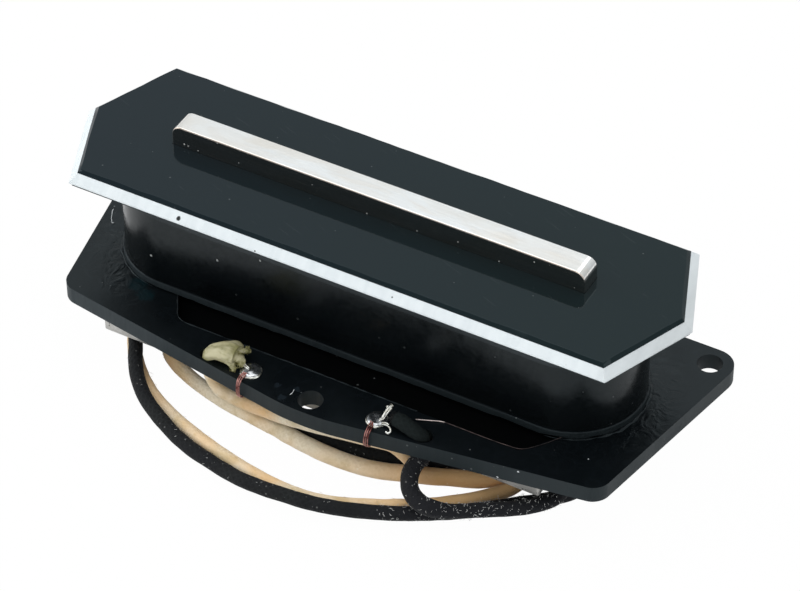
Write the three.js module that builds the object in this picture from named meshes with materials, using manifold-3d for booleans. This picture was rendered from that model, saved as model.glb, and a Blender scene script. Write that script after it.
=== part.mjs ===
// Guitar pickup with one steel blade between two bar magnets, a taped coil and a bevelled three-ply cover.
// All lengths are in millimetres, with +Z up.
// The origin is the middle of the base plate's top face, the plane that the three mounting screws bear on.
// +X runs along the blade, and -Y is the front, where the two cloth-covered leads leave.

import * as THREE from 'three';
import { mergeVertices } from 'three/addons/utils/BufferGeometryUtils.js';
import Module from 'manifold-3d';

const wasm = await Module();
wasm.setup();

// Clearances

const clearance = 0.3;
const overrun = 1;

// Facet counts

const holeSegments = 20;
const cornerSegments = 4;
const endSegments = 14;
const latheSegments = 16;
const cordSides = 8;
const wireSides = 6;
const leadSteps = 130;
const wireSteps = 16;

// Blade

const bladeLength = 59;
const bladeThickness = 3.4;
const bladeTop = 20.8;
const bladeFoot = -5.35;
const bladeCornerRadius = 1.4;
const bladeFootRadius = 0.5;
const bladeEase = 0.15;

// Bobbin and coil round the blade

const coilEndDepth = 7.5;
const coilSideDepth = 7.8;
const coilHeight = 13.55;
const tapeWall = 0.6;
const coreWall = 1;
const flangeLip = 0.3;
const lowerFlangeThickness = 1.2;
const upperFlangeThickness = 0.8;
const tapeLength = bladeLength + 2 * coilEndDepth;
const tapeWidth = bladeThickness + 2 * coilSideDepth;
const flangeLength = tapeLength + 2 * flangeLip;
const flangeWidth = tapeWidth + 2 * flangeLip;

// Cover: three plies in a stretched hexagon whose straight sides are as long as the coil

const coverOverhang = 2.2;
const coverPoint = 4.9;
const coverCornerRadius = 0.8;
const basePlyThickness = 0.5;
const corePlyThickness = 1.25;
const corePlyLand = 0.2;
const topPlyThickness = 0.46;
const coverWidth = flangeWidth + 2 * coverOverhang;
const coverFlatLength = flangeLength;

// Bar magnets under the plate, one on each side of the blade's foot

const magnetLength = 63.5;
const magnetWidth = 12.7;
const magnetThickness = 3.2;
const magnetShift = -1.3;
const magnetEase = 0.3;
const magnetGap = bladeThickness + 2 * clearance;
const magnetOuterY = magnetGap / 2 + magnetWidth;

// Base plate: as deep as the two magnets, with an ear at each end and a shallow V at the front

const plateThickness = 2.4;
const plateBackReach = 7.27;
const plateFrontReach = 1.65;
const plateFrontMargin = 0.3;
const plateNoseReach = 6.32;
const earRadius = 2.95;
const plateFrontRadius = 2.4;
const plateNoseRadius = 29;
const plateBackHalfLength = flangeLength / 2 + plateBackReach;
const plateFrontHalfLength = flangeLength / 2 + plateFrontReach;
const plateFrontY = -magnetOuterY - plateFrontMargin;
const plateNoseY = -magnetOuterY - plateNoseReach;

// Holes in the plate

const screwHoleRadius = 1.6;
const earHoleInsetX = 3.67;
const earHoleInsetY = 2.85;
const noseHoleInset = 2.82;
const leadHoleX = 15.5;
const leadHoleMargin = 2.3;
const eyeletX = 9.1;
const eyeletMargin = 2.7;
const earHoleX = plateBackHalfLength - earHoleInsetX;
const earHoleY = magnetOuterY - earHoleInsetY;
const noseHoleY = plateNoseY + noseHoleInset;
const leadHoleY = -magnetOuterY - leadHoleMargin;
const eyeletY = -magnetOuterY - eyeletMargin;

// Pocket milled in the top of the plate, from in front of the coil to under it

const pocketDepth = 0.95;
const pocketFrontMargin = 3.8;
const pocketBackMargin = 1.8;
const pocketLeftInset = 15;
const pocketRightInset = 10.1;
const pocketLeftFlare = 3.4;
const pocketRightFlare = 3.9;
const pocketRadius = 1.2;
const pocketFrontY = -flangeWidth / 2 - pocketFrontMargin;
const pocketBackY = -flangeWidth / 2 + pocketBackMargin;
const pocketLeftX = -flangeLength / 2 + pocketLeftInset;
const pocketRightX = flangeLength / 2 - pocketRightInset;

// Eyelets, solder and lead wires

const eyeletBarrelRadius = 0.85;
const eyeletWall = 0.2;
const eyeletFlangeRadius = 1.45;
const eyeletLipRadius = 1.3;
const eyeletLipThickness = 0.3;
const solderRadius = 1.3;
const solderHeight = 0.85;
const solderPlugDepth = 1.6;
const cordDiameter = 1.9;
const conductorDiameter = 0.8;
const tinnedEndLength = 8;
const coilLeadDiameter = 0.5;
const coilWireDiameter = 0.22;
const wireLift = 0.1;
const pocketWallShares = [0.35, 0.68];

// Heights that follow from the sizes above

const plateBottom = -plateThickness;
const magnetBottom = plateBottom - magnetThickness;
const coilBottom = lowerFlangeThickness;
const coilTop = coilBottom + coilHeight;
const coverBottom = coilTop + upperFlangeThickness;
const corePlyBottom = coverBottom + basePlyThickness;
const topPlyBottom = corePlyBottom + corePlyThickness;
const cordRadius = cordDiameter / 2;

// Finishes

const blackFibre = new THREE.MeshStandardMaterial({ color: 0x17191b, roughness: 0.55, metalness: 0 });
const blackPly = new THREE.MeshStandardMaterial({ color: 0x1d2022, roughness: 0.22, metalness: 0 });
const whitePly = new THREE.MeshStandardMaterial({ color: 0xdfe3e2, roughness: 0.4, metalness: 0 });
const polishedSteel = new THREE.MeshStandardMaterial({ color: 0xd6d6d0, roughness: 0.25, metalness: 1 });
const magnetMetal = new THREE.MeshStandardMaterial({ color: 0xa9a49c, roughness: 0.45, metalness: 0.8 });
const tapeBlack = new THREE.MeshStandardMaterial({ color: 0x0e0f10, roughness: 0.3, metalness: 0 });
const copper = new THREE.MeshStandardMaterial({ color: 0xb8693d, roughness: 0.35, metalness: 1 });
const redEnamel = new THREE.MeshStandardMaterial({ color: 0x8a3a34, roughness: 0.35, metalness: 0.3 });
const tinnedBrass = new THREE.MeshStandardMaterial({ color: 0xc9c8c0, roughness: 0.3, metalness: 1 });
const solderMetal = new THREE.MeshStandardMaterial({ color: 0xd2d3d4, roughness: 0.18, metalness: 1 });
const blackCloth = new THREE.MeshStandardMaterial({ color: 0x1c1c1c, roughness: 0.85, metalness: 0 });
const creamCloth = new THREE.MeshStandardMaterial({ color: 0xc9b78e, roughness: 0.85, metalness: 0 });

const pickup = new THREE.Group();

function addPiece(name, geometry, material) {
  geometry.computeVertexNormals();
  const mesh = new THREE.Mesh(geometry, material);
  mesh.name = name;
  pickup.add(mesh);
  return mesh;
}

// Solids: joining and cutting

function solidOf(geometry) {
  const bare = geometry.clone();
  bare.deleteAttribute('normal');
  bare.deleteAttribute('uv');
  const merged = mergeVertices(bare);
  return new wasm.Manifold(new wasm.Mesh({
    numProp: 3,
    vertProperties: new Float32Array(merged.attributes.position.array),
    triVerts: new Uint32Array(merged.index.array),
  }));
}

function geometryOf(solid) {
  const mesh = solid.getMesh();
  const positions = new Float32Array(mesh.vertProperties);
  const geometry = new THREE.BufferGeometry();
  geometry.setAttribute('position', new THREE.BufferAttribute(positions, mesh.numProp));
  geometry.setIndex(new THREE.BufferAttribute(new Uint32Array(mesh.triVerts), 1));
  return geometry;
}

function cut(geometry, ...tools) {
  let solid = solidOf(geometry);
  for (const tool of tools) {
    solid = solid.subtract(solidOf(tool));
  }
  return geometryOf(solid);
}

// Outlines: lists of points, anticlockwise

function roundedPolygon(corners, radii) {
  const points = [];
  corners.forEach((corner, i) => {
    const before = corners[(i + corners.length - 1) % corners.length];
    const after = corners[(i + 1) % corners.length];
    const back = before.clone().sub(corner).normalize();
    const ahead = after.clone().sub(corner).normalize();
    const halfAngle = Math.acos(back.dot(ahead)) / 2;
    const centre = corner.clone().add(
      back.clone().add(ahead).normalize().multiplyScalar(radii[i] / Math.sin(halfAngle)));
    const start = corner.clone().addScaledVector(back, radii[i] / Math.tan(halfAngle)).sub(centre);
    const sweep = Math.PI - 2 * halfAngle;
    const turn = Math.sign(ahead.cross(back));
    for (let k = 0; k <= cornerSegments; k += 1) {
      const angle = turn * sweep * k / cornerSegments;
      points.push(start.clone().rotateAround(new THREE.Vector2(), angle).add(centre));
    }
  });
  return points;
}

function evenRadii(corners, radius) {
  return corners.map(() => radius);
}

function rectangle(length, width) {
  const x = length / 2;
  const y = width / 2;
  return [[-x, -y], [x, -y], [x, y], [-x, y]].map(([px, py]) => new THREE.Vector2(px, py));
}

function chamferedRectangle(length, width, chamfer) {
  const x = length / 2;
  const y = width / 2;
  return [
    [-x + chamfer, -y], [x - chamfer, -y], [x, -y + chamfer], [x, y - chamfer],
    [x - chamfer, y], [-x + chamfer, y], [-x, y - chamfer], [-x, -y + chamfer],
  ].map(([px, py]) => new THREE.Vector2(px, py));
}

function racetrack(length, width) {
  const radius = width / 2;
  const straight = length / 2 - radius;
  const points = [];
  for (const side of [1, -1]) {
    for (let k = 0; k <= endSegments; k += 1) {
      const angle = Math.PI * (k / endSegments - side / 2);
      points.push(new THREE.Vector2(side * straight + radius * Math.cos(angle), radius * Math.sin(angle)));
    }
  }
  return points;
}

function circle(x, y, radius) {
  const path = new THREE.Path();
  path.absarc(x, y, radius, 0, 2 * Math.PI, false);
  return path.getSpacedPoints(holeSegments).slice(0, -1);
}

function prism(outline, bottom, top, holes = []) {
  const shape = new THREE.Shape(outline);
  shape.holes = holes.map((hole) => new THREE.Path(hole));
  const geometry = new THREE.ExtrudeGeometry(shape, { depth: top - bottom, bevelEnabled: false });
  return geometry.translate(0, 0, bottom);
}

// A solid through outlines with the same number of points, one above another

function stack(levels) {
  const count = levels[0].outline.length;
  const positions = [];
  for (const level of levels) {
    for (const point of level.outline) {
      positions.push(point.x, point.y, level.z);
    }
  }
  const triangles = [];
  for (let level = 0; level + 1 < levels.length; level += 1) {
    for (let k = 0; k < count; k += 1) {
      const a = level * count + k;
      const b = level * count + (k + 1) % count;
      triangles.push(a, b, b + count, a, b + count, a + count);
    }
  }
  const topStart = (levels.length - 1) * count;
  for (const [a, b, c] of THREE.ShapeUtils.triangulateShape(levels[0].outline, [])) {
    triangles.push(c, b, a);
    triangles.push(topStart + a, topStart + b, topStart + c);
  }
  const geometry = new THREE.BufferGeometry();
  geometry.setAttribute('position', new THREE.Float32BufferAttribute(positions, 3));
  geometry.setIndex(triangles);
  return geometry;
}

function lathe(profile) {
  const points = profile.map(([radius, height]) => new THREE.Vector2(radius, height));
  return new THREE.LatheGeometry(points, latheSegments).rotateX(Math.PI / 2);
}

// A round rod along a smooth path through points in space

function rod(points, diameter, sides, steps) {
  const places = points.map(([x, y, z]) => new THREE.Vector3(x, y, z));
  const path = new THREE.CatmullRomCurve3(places, false, 'centripetal');
  const section = new THREE.Shape();
  section.absarc(0, 0, diameter / 2, 0, 2 * Math.PI, false);
  const outline = new THREE.Shape(section.getSpacedPoints(sides).slice(0, -1));
  return new THREE.ExtrudeGeometry(outline, { steps, extrudePath: path, bevelEnabled: false });
}

// Base plate

function plateOutline() {
  const corners = [
    [-plateBackHalfLength, magnetOuterY], [-plateFrontHalfLength, plateFrontY], [0, plateNoseY],
    [plateFrontHalfLength, plateFrontY], [plateBackHalfLength, magnetOuterY],
  ].map(([x, y]) => new THREE.Vector2(x, y));
  return roundedPolygon(corners, [earRadius, plateFrontRadius, plateNoseRadius, plateFrontRadius, earRadius]);
}

function bladeSlot() {
  return rectangle(bladeLength + 2 * clearance, bladeThickness + 2 * clearance);
}

function makeBasePlate() {
  const eyeletHoleRadius = eyeletBarrelRadius + clearance;
  const leadHoleRadius = cordRadius + clearance;
  const holes = [
    circle(-earHoleX, earHoleY, screwHoleRadius),
    circle(earHoleX, earHoleY, screwHoleRadius),
    circle(0, noseHoleY, screwHoleRadius),
    circle(-leadHoleX, leadHoleY, leadHoleRadius),
    circle(leadHoleX, leadHoleY, leadHoleRadius),
    circle(-eyeletX, eyeletY, eyeletHoleRadius),
    circle(eyeletX, eyeletY, eyeletHoleRadius),
    bladeSlot(),
  ];
  const pocketCorners = [
    [pocketLeftX, pocketFrontY], [pocketRightX, pocketFrontY],
    [pocketRightX + pocketRightFlare, pocketBackY], [pocketLeftX - pocketLeftFlare, pocketBackY],
  ].map(([x, y]) => new THREE.Vector2(x, y));
  const pocketOutline = roundedPolygon(pocketCorners, evenRadii(pocketCorners, pocketRadius));
  const pocket = prism(pocketOutline, -pocketDepth, overrun);
  addPiece('base_plate', cut(prism(plateOutline(), plateBottom, 0, holes), pocket), blackFibre);
}

// Blade: a bar with rounded top ends, standing through the bobbin

function makeBlade() {
  const left = -bladeLength / 2;
  const right = bladeLength / 2;
  const corners = [[left, bladeFoot], [right, bladeFoot], [right, bladeTop], [left, bladeTop]]
    .map(([x, z]) => new THREE.Vector2(x, z));
  const radii = [bladeFootRadius, bladeFootRadius, bladeCornerRadius, bladeCornerRadius];
  const side = roundedPolygon(corners, radii);
  const geometry = new THREE.ExtrudeGeometry(new THREE.Shape(side), {
    depth: bladeThickness - 2 * bladeEase,
    bevelSize: bladeEase,
    bevelOffset: -bladeEase,
    bevelThickness: bladeEase,
    bevelSegments: 1,
  });
  geometry.translate(0, 0, -bladeThickness / 2 + bladeEase).rotateX(Math.PI / 2);
  addPiece('blade', geometry, polishedSteel);
}

// Magnets: one on each side of the blade's foot, flat against the plate

function makeMagnet(name, side) {
  const ease = magnetEase;
  const shape = new THREE.Shape(chamferedRectangle(magnetLength, magnetWidth, ease));
  const geometry = new THREE.ExtrudeGeometry(shape, {
    depth: magnetThickness - 2 * ease,
    bevelSize: ease,
    bevelOffset: -ease,
    bevelThickness: ease,
    bevelSegments: 1,
  });
  geometry.translate(magnetShift, side * (magnetGap + magnetWidth) / 2, magnetBottom + ease);
  addPiece(name, geometry, magnetMetal);
}

// Bobbin, winding and tape

function makeCoil() {
  const slot = bladeSlot();
  const coreLength = bladeLength + 2 * clearance + 2 * coreWall;
  const coreWidth = bladeThickness + 2 * clearance + 2 * coreWall;
  const core = rectangle(coreLength, coreWidth);
  const windingInner = rectangle(coreLength + 2 * clearance, coreWidth + 2 * clearance);
  const tapeInnerLength = tapeLength - 2 * tapeWall;
  const tapeInnerWidth = tapeWidth - 2 * tapeWall;
  const windingOuter = racetrack(tapeInnerLength - 2 * clearance, tapeInnerWidth - 2 * clearance);
  const flange = racetrack(flangeLength, flangeWidth);
  addPiece('bobbin_lower_flange', prism(flange, 0, coilBottom, [slot]), blackFibre);
  addPiece('bobbin_core', prism(core, coilBottom, coilTop, [slot]), blackFibre);
  addPiece('bobbin_upper_flange', prism(flange, coilTop, coverBottom, [slot]), blackFibre);
  addPiece('coil_winding', prism(windingOuter, coilBottom, coilTop, [windingInner]), copper);
  const tapeInner = racetrack(tapeInnerLength, tapeInnerWidth);
  addPiece('coil_tape', prism(racetrack(tapeLength, tapeWidth), coilBottom, coilTop, [tapeInner]), tapeBlack);
}

// Cover: the hexagon grown outwards by an offset, so that every edge keeps its slope

function coverOutline(grow) {
  const halfWidth = coverWidth / 2;
  const slant = Math.hypot(halfWidth, coverPoint);
  const cornerX = coverFlatLength / 2 + grow * (slant - coverPoint) / halfWidth;
  const tipX = coverFlatLength / 2 + coverPoint + grow * slant / halfWidth;
  const y = halfWidth + grow;
  const corners = [[-cornerX, -y], [cornerX, -y], [tipX, 0], [cornerX, y], [-cornerX, y], [-tipX, 0]]
    .map(([px, py]) => new THREE.Vector2(px, py));
  return roundedPolygon(corners, evenRadii(corners, coverCornerRadius + grow));
}

function makeCover() {
  const coreBevel = corePlyThickness - corePlyLand;
  const slot = prism(bladeSlot(), coverBottom - overrun, topPlyBottom + topPlyThickness + overrun);
  const basePly = stack([
    { z: coverBottom, outline: coverOutline(coreBevel) },
    { z: corePlyBottom, outline: coverOutline(coreBevel) },
  ]);
  const corePly = stack([
    { z: corePlyBottom, outline: coverOutline(coreBevel) },
    { z: corePlyBottom + corePlyLand, outline: coverOutline(coreBevel) },
    { z: topPlyBottom, outline: coverOutline(0) },
  ]);
  const topPly = stack([
    { z: topPlyBottom, outline: coverOutline(0) },
    { z: topPlyBottom + topPlyThickness, outline: coverOutline(-topPlyThickness) },
  ]);
  addPiece('cover_base_ply', cut(basePly, slot), blackPly);
  addPiece('cover_core_ply', cut(corePly, slot), whitePly);
  addPiece('cover_top_ply', cut(topPly, slot), blackPly);
}

// Eyelet: a flange on the plate, a barrel through it and a lip rolled under it

function makeEyelet(name, x) {
  const bore = eyeletBarrelRadius - eyeletWall;
  const lipBottom = plateBottom - eyeletLipThickness;
  const profile = [
    [bore, lipBottom], [eyeletLipRadius, lipBottom], [eyeletLipRadius, plateBottom],
    [eyeletBarrelRadius, plateBottom], [eyeletBarrelRadius, 0], [eyeletFlangeRadius, 0],
    [eyeletFlangeRadius, eyeletWall], [bore, eyeletWall], [bore, lipBottom],
  ];
  addPiece(name, lathe(profile).translate(x, eyeletY, 0), tinnedBrass);
}

// Solder: a dome on the eyelet with a plug down its bore

function makeSolder(name, x) {
  const plugRadius = eyeletBarrelRadius - eyeletWall - clearance;
  const profile = [[0, -solderPlugDepth], [plugRadius, -solderPlugDepth], [plugRadius, eyeletWall]];
  for (let k = 0; k <= cornerSegments; k += 1) {
    const angle = Math.PI / 2 * k / cornerSegments;
    const radius = k === cornerSegments ? 0 : solderRadius * Math.cos(angle);
    profile.push([radius, eyeletWall + solderHeight * Math.sin(angle)]);
  }
  addPiece(name, lathe(profile).translate(x, eyeletY, 0), solderMetal);
}

// Cloth-covered lead starts: from beside the solder, along the plate and down through the lead hole

function makeLeadStart(name, side, material) {
  const rest = cordRadius + wireLift;
  const first = eyeletX + solderRadius + clearance + conductorDiameter;
  const points = [
    [side * first, leadHoleY, rest],
    [side * (leadHoleX - cordDiameter), leadHoleY, rest],
    [side * (leadHoleX - cordRadius / 2), leadHoleY, rest - cordRadius / 2],
    [side * leadHoleX, leadHoleY, -plateThickness / 2],
    [side * leadHoleX, leadHoleY, plateBottom],
  ];
  addPiece(name, rod(points, cordDiameter, cordSides, wireSteps), material);
}

function makeConductor(name, side) {
  const rest = cordRadius + wireLift;
  const first = eyeletX + solderRadius + clearance / 2;
  const last = eyeletX + solderRadius + conductorDiameter;
  const points = [[side * first, leadHoleY, rest], [side * last, leadHoleY, rest]];
  addPiece(name, rod(points, conductorDiameter, wireSides, 1), tinnedBrass);
}

// Enamelled coil leads: from the solder over the plate's front edge, with the end folded in under the plate

function makeCoilLead(name, side) {
  const lift = coilLeadDiameter / 2 + wireLift;
  const startY = eyeletY - solderRadius - clearance - coilLeadDiameter / 2;
  const slope = (plateFrontY - plateNoseY) / plateFrontHalfLength;
  const edgeY = plateNoseY + slope * eyeletX - lift - clearance;
  const points = [
    [side * eyeletX, startY, lift],
    [side * eyeletX, edgeY + lift, lift + wireLift],
    [side * eyeletX, edgeY, -plateThickness / 2],
    [side * eyeletX, edgeY + lift, plateBottom - lift],
    [side * eyeletX, edgeY + plateThickness / 2, plateBottom - lift],
  ];
  addPiece(name, rod(points, coilLeadDiameter, wireSides, wireSteps), redEnamel);
}

// Fine coil wire on the plate: from beside the solder, along the pocket's edge to the end of the coil

function makeCoilWire() {
  const lift = coilWireDiameter / 2 + wireLift;
  const besidePocketY = pocketFrontY - clearance;
  const startX = eyeletX + solderRadius + cordRadius;
  const besideWall = pocketWallShares.map((share) => [
    pocketRightX + share * pocketRightFlare + clearance,
    pocketFrontY + share * (pocketBackY - pocketFrontY),
    lift,
  ]);
  const points = [
    [startX, leadHoleY + cordRadius + clearance, lift],
    [leadHoleX + cordRadius, besidePocketY - wireLift, lift],
    [(leadHoleX + pocketRightX) / 2, besidePocketY - wireLift, lift],
    [pocketRightX, besidePocketY, lift],
    ...besideWall,
  ];
  addPiece('coil_wire', rod(points, coilWireDiameter, wireSides, wireSteps), copper);
}

// Free leads: each leaves its hole in the plate, drops to the bench and passes under the magnets and back

const blackLeadRoute = [
  [15.5, -17, -2.75], [15.3, -17.1, -3.6], [14.8, -17.7, -4.5], [14.7, -18.9, -5.2], [15.2, -20.2, -5.7],
  [16.3, -21.4, -6], [17.9, -22.1, -6.2], [19.6, -22, -6.4], [21.5, -21.1, -6.7], [24.3, -19.2, -6.85],
  [27.3, -17.3, -6.85], [30, -15.2, -6.85], [31.8, -12.5, -6.85], [31.7, -9.4, -6.85], [29.6, -7.2, -6.85],
  [26.6, -6.8, -6.85], [23.4, -7.5, -6.95], [20.6, -9.2, -7.7], [18, -11.1, -8.5], [15.4, -12.6, -8.9],
  [12.4, -13.8, -8.95], [8.5, -14.9, -8.95], [4, -15.6, -8.95], [-0.4, -15.7, -8.95],
  [-5.6, -14.8, -8.95], [-10, -13, -8.6], [-14.2, -11.1, -7.8], [-18.2, -9.4, -7], [-22, -7.8, -6.85],
  [-26, -6.7, -6.85], [-29.2, -7.2, -6.85], [-30.6, -9.5, -6.85], [-29.9, -12.1, -6.85],
  [-28.5, -14.5, -6.9], [-27.1, -16.8, -7.05], [-25.4, -19, -7.3], [-22.9, -21.2, -7.75],
  [-19, -23.4, -8.2], [-14.7, -25.1, -8.7], [-10.6, -26.2, -8.7], [-5.3, -27.3, -8.5], [-1.7, -27.6, -8.15],
  [1.7, -27.6, -7.85], [4.9, -27.3, -7.8], [9.1, -26.1, -7.95], [13, -24.4, -8.15], [16.2, -22.7, -8.3],
  [20, -20.2, -8.5], [23.6, -17.3, -8.8], [27, -14.2, -8.95], [30.6, -11, -8.95], [32.9, -7.6, -8.95],
  [33, -3.2, -8.95], [30.4, 0.4, -8.95], [26, 1.5, -8.95], [-14, 1.6, -8.95], [-17, 2.8, -8.95],
  [-18.2, 5.8, -8.95], [-17, 8.8, -8.95], [-14, 10.1, -8.95], [2, 10.2, -8.95], [23, 10.2, -8.95],
];

const creamLeadRoute = [
  [-15.5, -17, -2.75], [-15.5, -16.8, -3.9], [-15.2, -16.7, -4.9], [-14.2, -17, -5.6], [-12.6, -17.1, -6],
  [-10.4, -17.1, -6.3], [-7.6, -17.1, -6.2], [-4.6, -17.4, -5.8], [-1.6, -17.6, -5.2], [1.6, -17.6, -4.7],
  [4.9, -17.4, -4.3], [8, -17.1, -4.1], [10.7, -16.5, -4.3], [12.3, -16.3, -5.2], [13.3, -15.9, -6.4],
  [13.8, -14.5, -7], [13.6, -12.5, -7], [12, -10, -7.2], [9, -8.3, -8.2], [4.6, -7.8, -8.9],
  [0, -7.6, -8.95], [-8, -7, -8.95], [-21.8, -5.8, -8.95], [-25, -6.6, -8.95], [-26.4, -9, -8.95],
  [-25.4, -11.3, -8.95], [-23.6, -12.7, -8.95], [-21.6, -13.7, -8.95], [-19.4, -14.5, -8.95],
  [-16.8, -15.3, -8.9], [-13.8, -16, -8.9], [-10.6, -16.5, -8.85], [-7.6, -16.9, -8.85], [-4.4, -17.3, -8.8],
  [-1.4, -17.7, -8.8], [2, -18, -8.8], [6.2, -17.9, -8.8], [9.3, -17.3, -8.8], [12.2, -16.3, -8.8],
  [15.4, -15.1, -8.8], [18.3, -13.8, -8.85], [20.9, -12.7, -8.9], [22.9, -11.2, -8.95], [23.7, -8.6, -8.95],
  [22.6, -5.4, -8.95], [19.4, -3.3, -8.95], [14, -3, -8.95], [-4, -3, -8.95], [-22.5, -3, -8.95],
  [-28, -4.3, -8.95], [-31.1, -7.6, -8.95], [-31, -10.7, -8.95], [-29.8, -12.9, -8.95], [-27.8, -15.3, -8.95],
  [-25.2, -17.7, -8.95], [-22.3, -19.7, -8.95], [-18.3, -21.6, -8.95], [-14.1, -23.1, -8.95],
  [-9.4, -24.4, -8.95], [-3.3, -25.6, -8.95], [0.3, -25.9, -8.95], [3.6, -25.8, -8.95], [6.8, -25.1, -8.95],
  [10.9, -23.4, -8.95], [15, -21.2, -8.95], [19.8, -17.9, -8.95], [23.7, -14.2, -8.95], [25.3, -11.8, -8.95],
  [26, -8.8, -8.95], [25.1, -4.4, -8.95], [21.8, -1.3, -8.95], [16, -0.7, -8.95], [4, -0.7, -8.95],
];

function makeLead(name, route, material) {
  addPiece(name, rod(route, cordDiameter, cordSides, leadSteps), material);
  const last = new THREE.Vector3(...route[route.length - 1]);
  const before = new THREE.Vector3(...route[route.length - 2]);
  const heading = last.clone().sub(before).normalize();
  const start = last.clone().addScaledVector(heading, clearance);
  const stop = start.clone().addScaledVector(heading, tinnedEndLength);
  const end = rod([start.toArray(), stop.toArray()], conductorDiameter, wireSides, 1);
  addPiece(`${name}_end`, end, tinnedBrass);
}

makeBasePlate();
makeBlade();
makeMagnet('magnet_front', -1);
makeMagnet('magnet_rear', 1);
makeCoil();
makeCover();
for (const [label, side, cloth] of [['left', -1, creamCloth], ['right', 1, blackCloth]]) {
  makeEyelet(`eyelet_${label}`, side * eyeletX);
  makeSolder(`solder_${label}`, side * eyeletX);
  makeCoilLead(`coil_lead_${label}`, side);
  makeConductor(`conductor_${label}`, side);
  makeLeadStart(`lead_start_${label}`, side, cloth);
}
makeCoilWire();
makeLead('lead_black', blackLeadRoute, blackCloth);
makeLead('lead_cream', creamLeadRoute, creamCloth);

export default pickup;
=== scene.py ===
# A guitar pickup that lies on its own leads: bevelled three-ply cover, steel blade, taped coil, eared base
# plate, bar magnets, soldered eyelets and two cloth-covered leads. The dressed pieces stand in the packed
# model's frame.

import math
import random

import bmesh
import bpy
from mathutils import Matrix, Vector, noise


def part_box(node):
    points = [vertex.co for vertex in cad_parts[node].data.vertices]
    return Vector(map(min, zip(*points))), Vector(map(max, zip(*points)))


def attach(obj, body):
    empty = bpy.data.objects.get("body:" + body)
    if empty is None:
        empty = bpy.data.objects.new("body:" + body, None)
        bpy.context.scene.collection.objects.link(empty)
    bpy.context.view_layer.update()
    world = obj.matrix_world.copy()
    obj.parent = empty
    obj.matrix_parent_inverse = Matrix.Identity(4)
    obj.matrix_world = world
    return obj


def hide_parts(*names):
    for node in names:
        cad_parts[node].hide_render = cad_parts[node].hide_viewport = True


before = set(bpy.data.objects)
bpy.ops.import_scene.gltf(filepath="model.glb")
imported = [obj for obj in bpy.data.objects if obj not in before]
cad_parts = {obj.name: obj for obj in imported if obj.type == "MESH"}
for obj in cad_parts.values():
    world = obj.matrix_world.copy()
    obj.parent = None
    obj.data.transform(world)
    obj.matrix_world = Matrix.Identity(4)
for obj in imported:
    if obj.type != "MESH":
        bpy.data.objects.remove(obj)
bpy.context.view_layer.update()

MM = 0.001
SEED = 11

# Edges sharper than this many degrees stay sharp: on cut pieces, on tubes and threads, and on lumpy pieces

HARD_ANGLE = 30
SOFT_ANGLE = 60
WRINKLED_ANGLE = 70

# Camera, at the photograph's angle and distance

CAMERA_AZIMUTH = math.radians(29.353)
CAMERA_ELEVATION = math.radians(42.381)
CAMERA_ROLL = math.radians(-0.373)
CAMERA_SIDE = 2.4355 * MM
CAMERA_RISE = -10.486 * MM
CAMERA_DISTANCE = 470.56 * MM
CAMERA_AIM_HEIGHT = 17.3 * MM
CAMERA_LENS = 169.28
CAMERA_CLIP = 10 * MM
SENSOR_WIDTH = 36

# Light: the direction that is brightest, how far the light spreads round it, the world's strength away from
# it and there, how white the floor is where it is seen and mirrored, and the lamps. Each lamp has a place and
# a width and height in metres, and its watts.

WHITE = (1, 1, 1, 1)
COOL_GLOSS = (0.78, 0.94, 1, 1)
BRIGHT_SIDE = (-0.36, 0.65, 0.67)
BRIGHT_SPREAD = (-0.2, 0.95)
WORLD_DIM = 0.34
WORLD_BRIGHT = 0.85
WORLD_TINT = (0.93, 0.98, 1, 1)
FLOOR_COLOR = (0.86, 0.87, 0.88, 1)
FLOOR_SIZE = 6
FLOOR_SEEN = 0.985
FLOOR_MIRRORED = 0.7
SOFTBOXES = [
    ("top_softbox", (-0.05, 0.12, 0.75), (0.9, 0.9), 3.2),
    ("left_softbox", (-0.7, -0.25, 0.35), (0.5, 0.5), 2.2),
    ("right_softbox", (0.7, -0.1, 0.4), (0.5, 0.5), 0.7),
    ("front_softbox", (0.12, -0.75, 0.3), (0.6, 0.4), 1.2),
]

# Base plate

PLATE_THICKNESS = 2.4 * MM
PLATE_BACK_X = 44.57 * MM
PLATE_BACK_Y = 14.7 * MM
PLATE_FRONT_X = 38.95 * MM
PLATE_FRONT_Y = -15.0 * MM
PLATE_NOSE_Y = -21.02 * MM
EAR_RADIUS = 2.95 * MM
PLATE_FRONT_RADIUS = 2.4 * MM
PLATE_NOSE_RADIUS = 29 * MM
SCREW_HOLE_RADIUS = 1.65 * MM
EAR_HOLE = (40.9 * MM, 11.85 * MM)
NOSE_HOLE_Y = -18.2 * MM
LEAD_HOLE = (15.5 * MM, -17.0 * MM)
LEAD_HOLE_RADIUS = 1.25 * MM
EYELET = (9.1 * MM, -17.4 * MM)
EYELET_HOLE_RADIUS = 1.15 * MM
POCKET_DEPTH = 0.95 * MM
POCKET_FRONT_Y = -13.6 * MM
POCKET_BACK_Y = -8.0 * MM
POCKET_LEFT_X = -22.3 * MM
POCKET_RIGHT_X = 27.2 * MM
POCKET_LEFT_FLARE = 3.4 * MM
POCKET_RIGHT_FLARE = 3.9 * MM
POCKET_RADIUS = 1.2 * MM
PLATE_EDGE_EASE = 0.14 * MM
BURR_RADIUS = 0.09 * MM
BURR_HEIGHT = 0.02 * MM
BURR_UP_SLANT_MM = (5, 2.5, 1)
BURR_ALONG_MM = [(0.25, 0.25), (1.2, 0), (4, 0), (10, 0), (20, 0), (30, 0), (35, 0)]
SLIVER_RADIUS = 0.045 * MM

# Blade and cover

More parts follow.
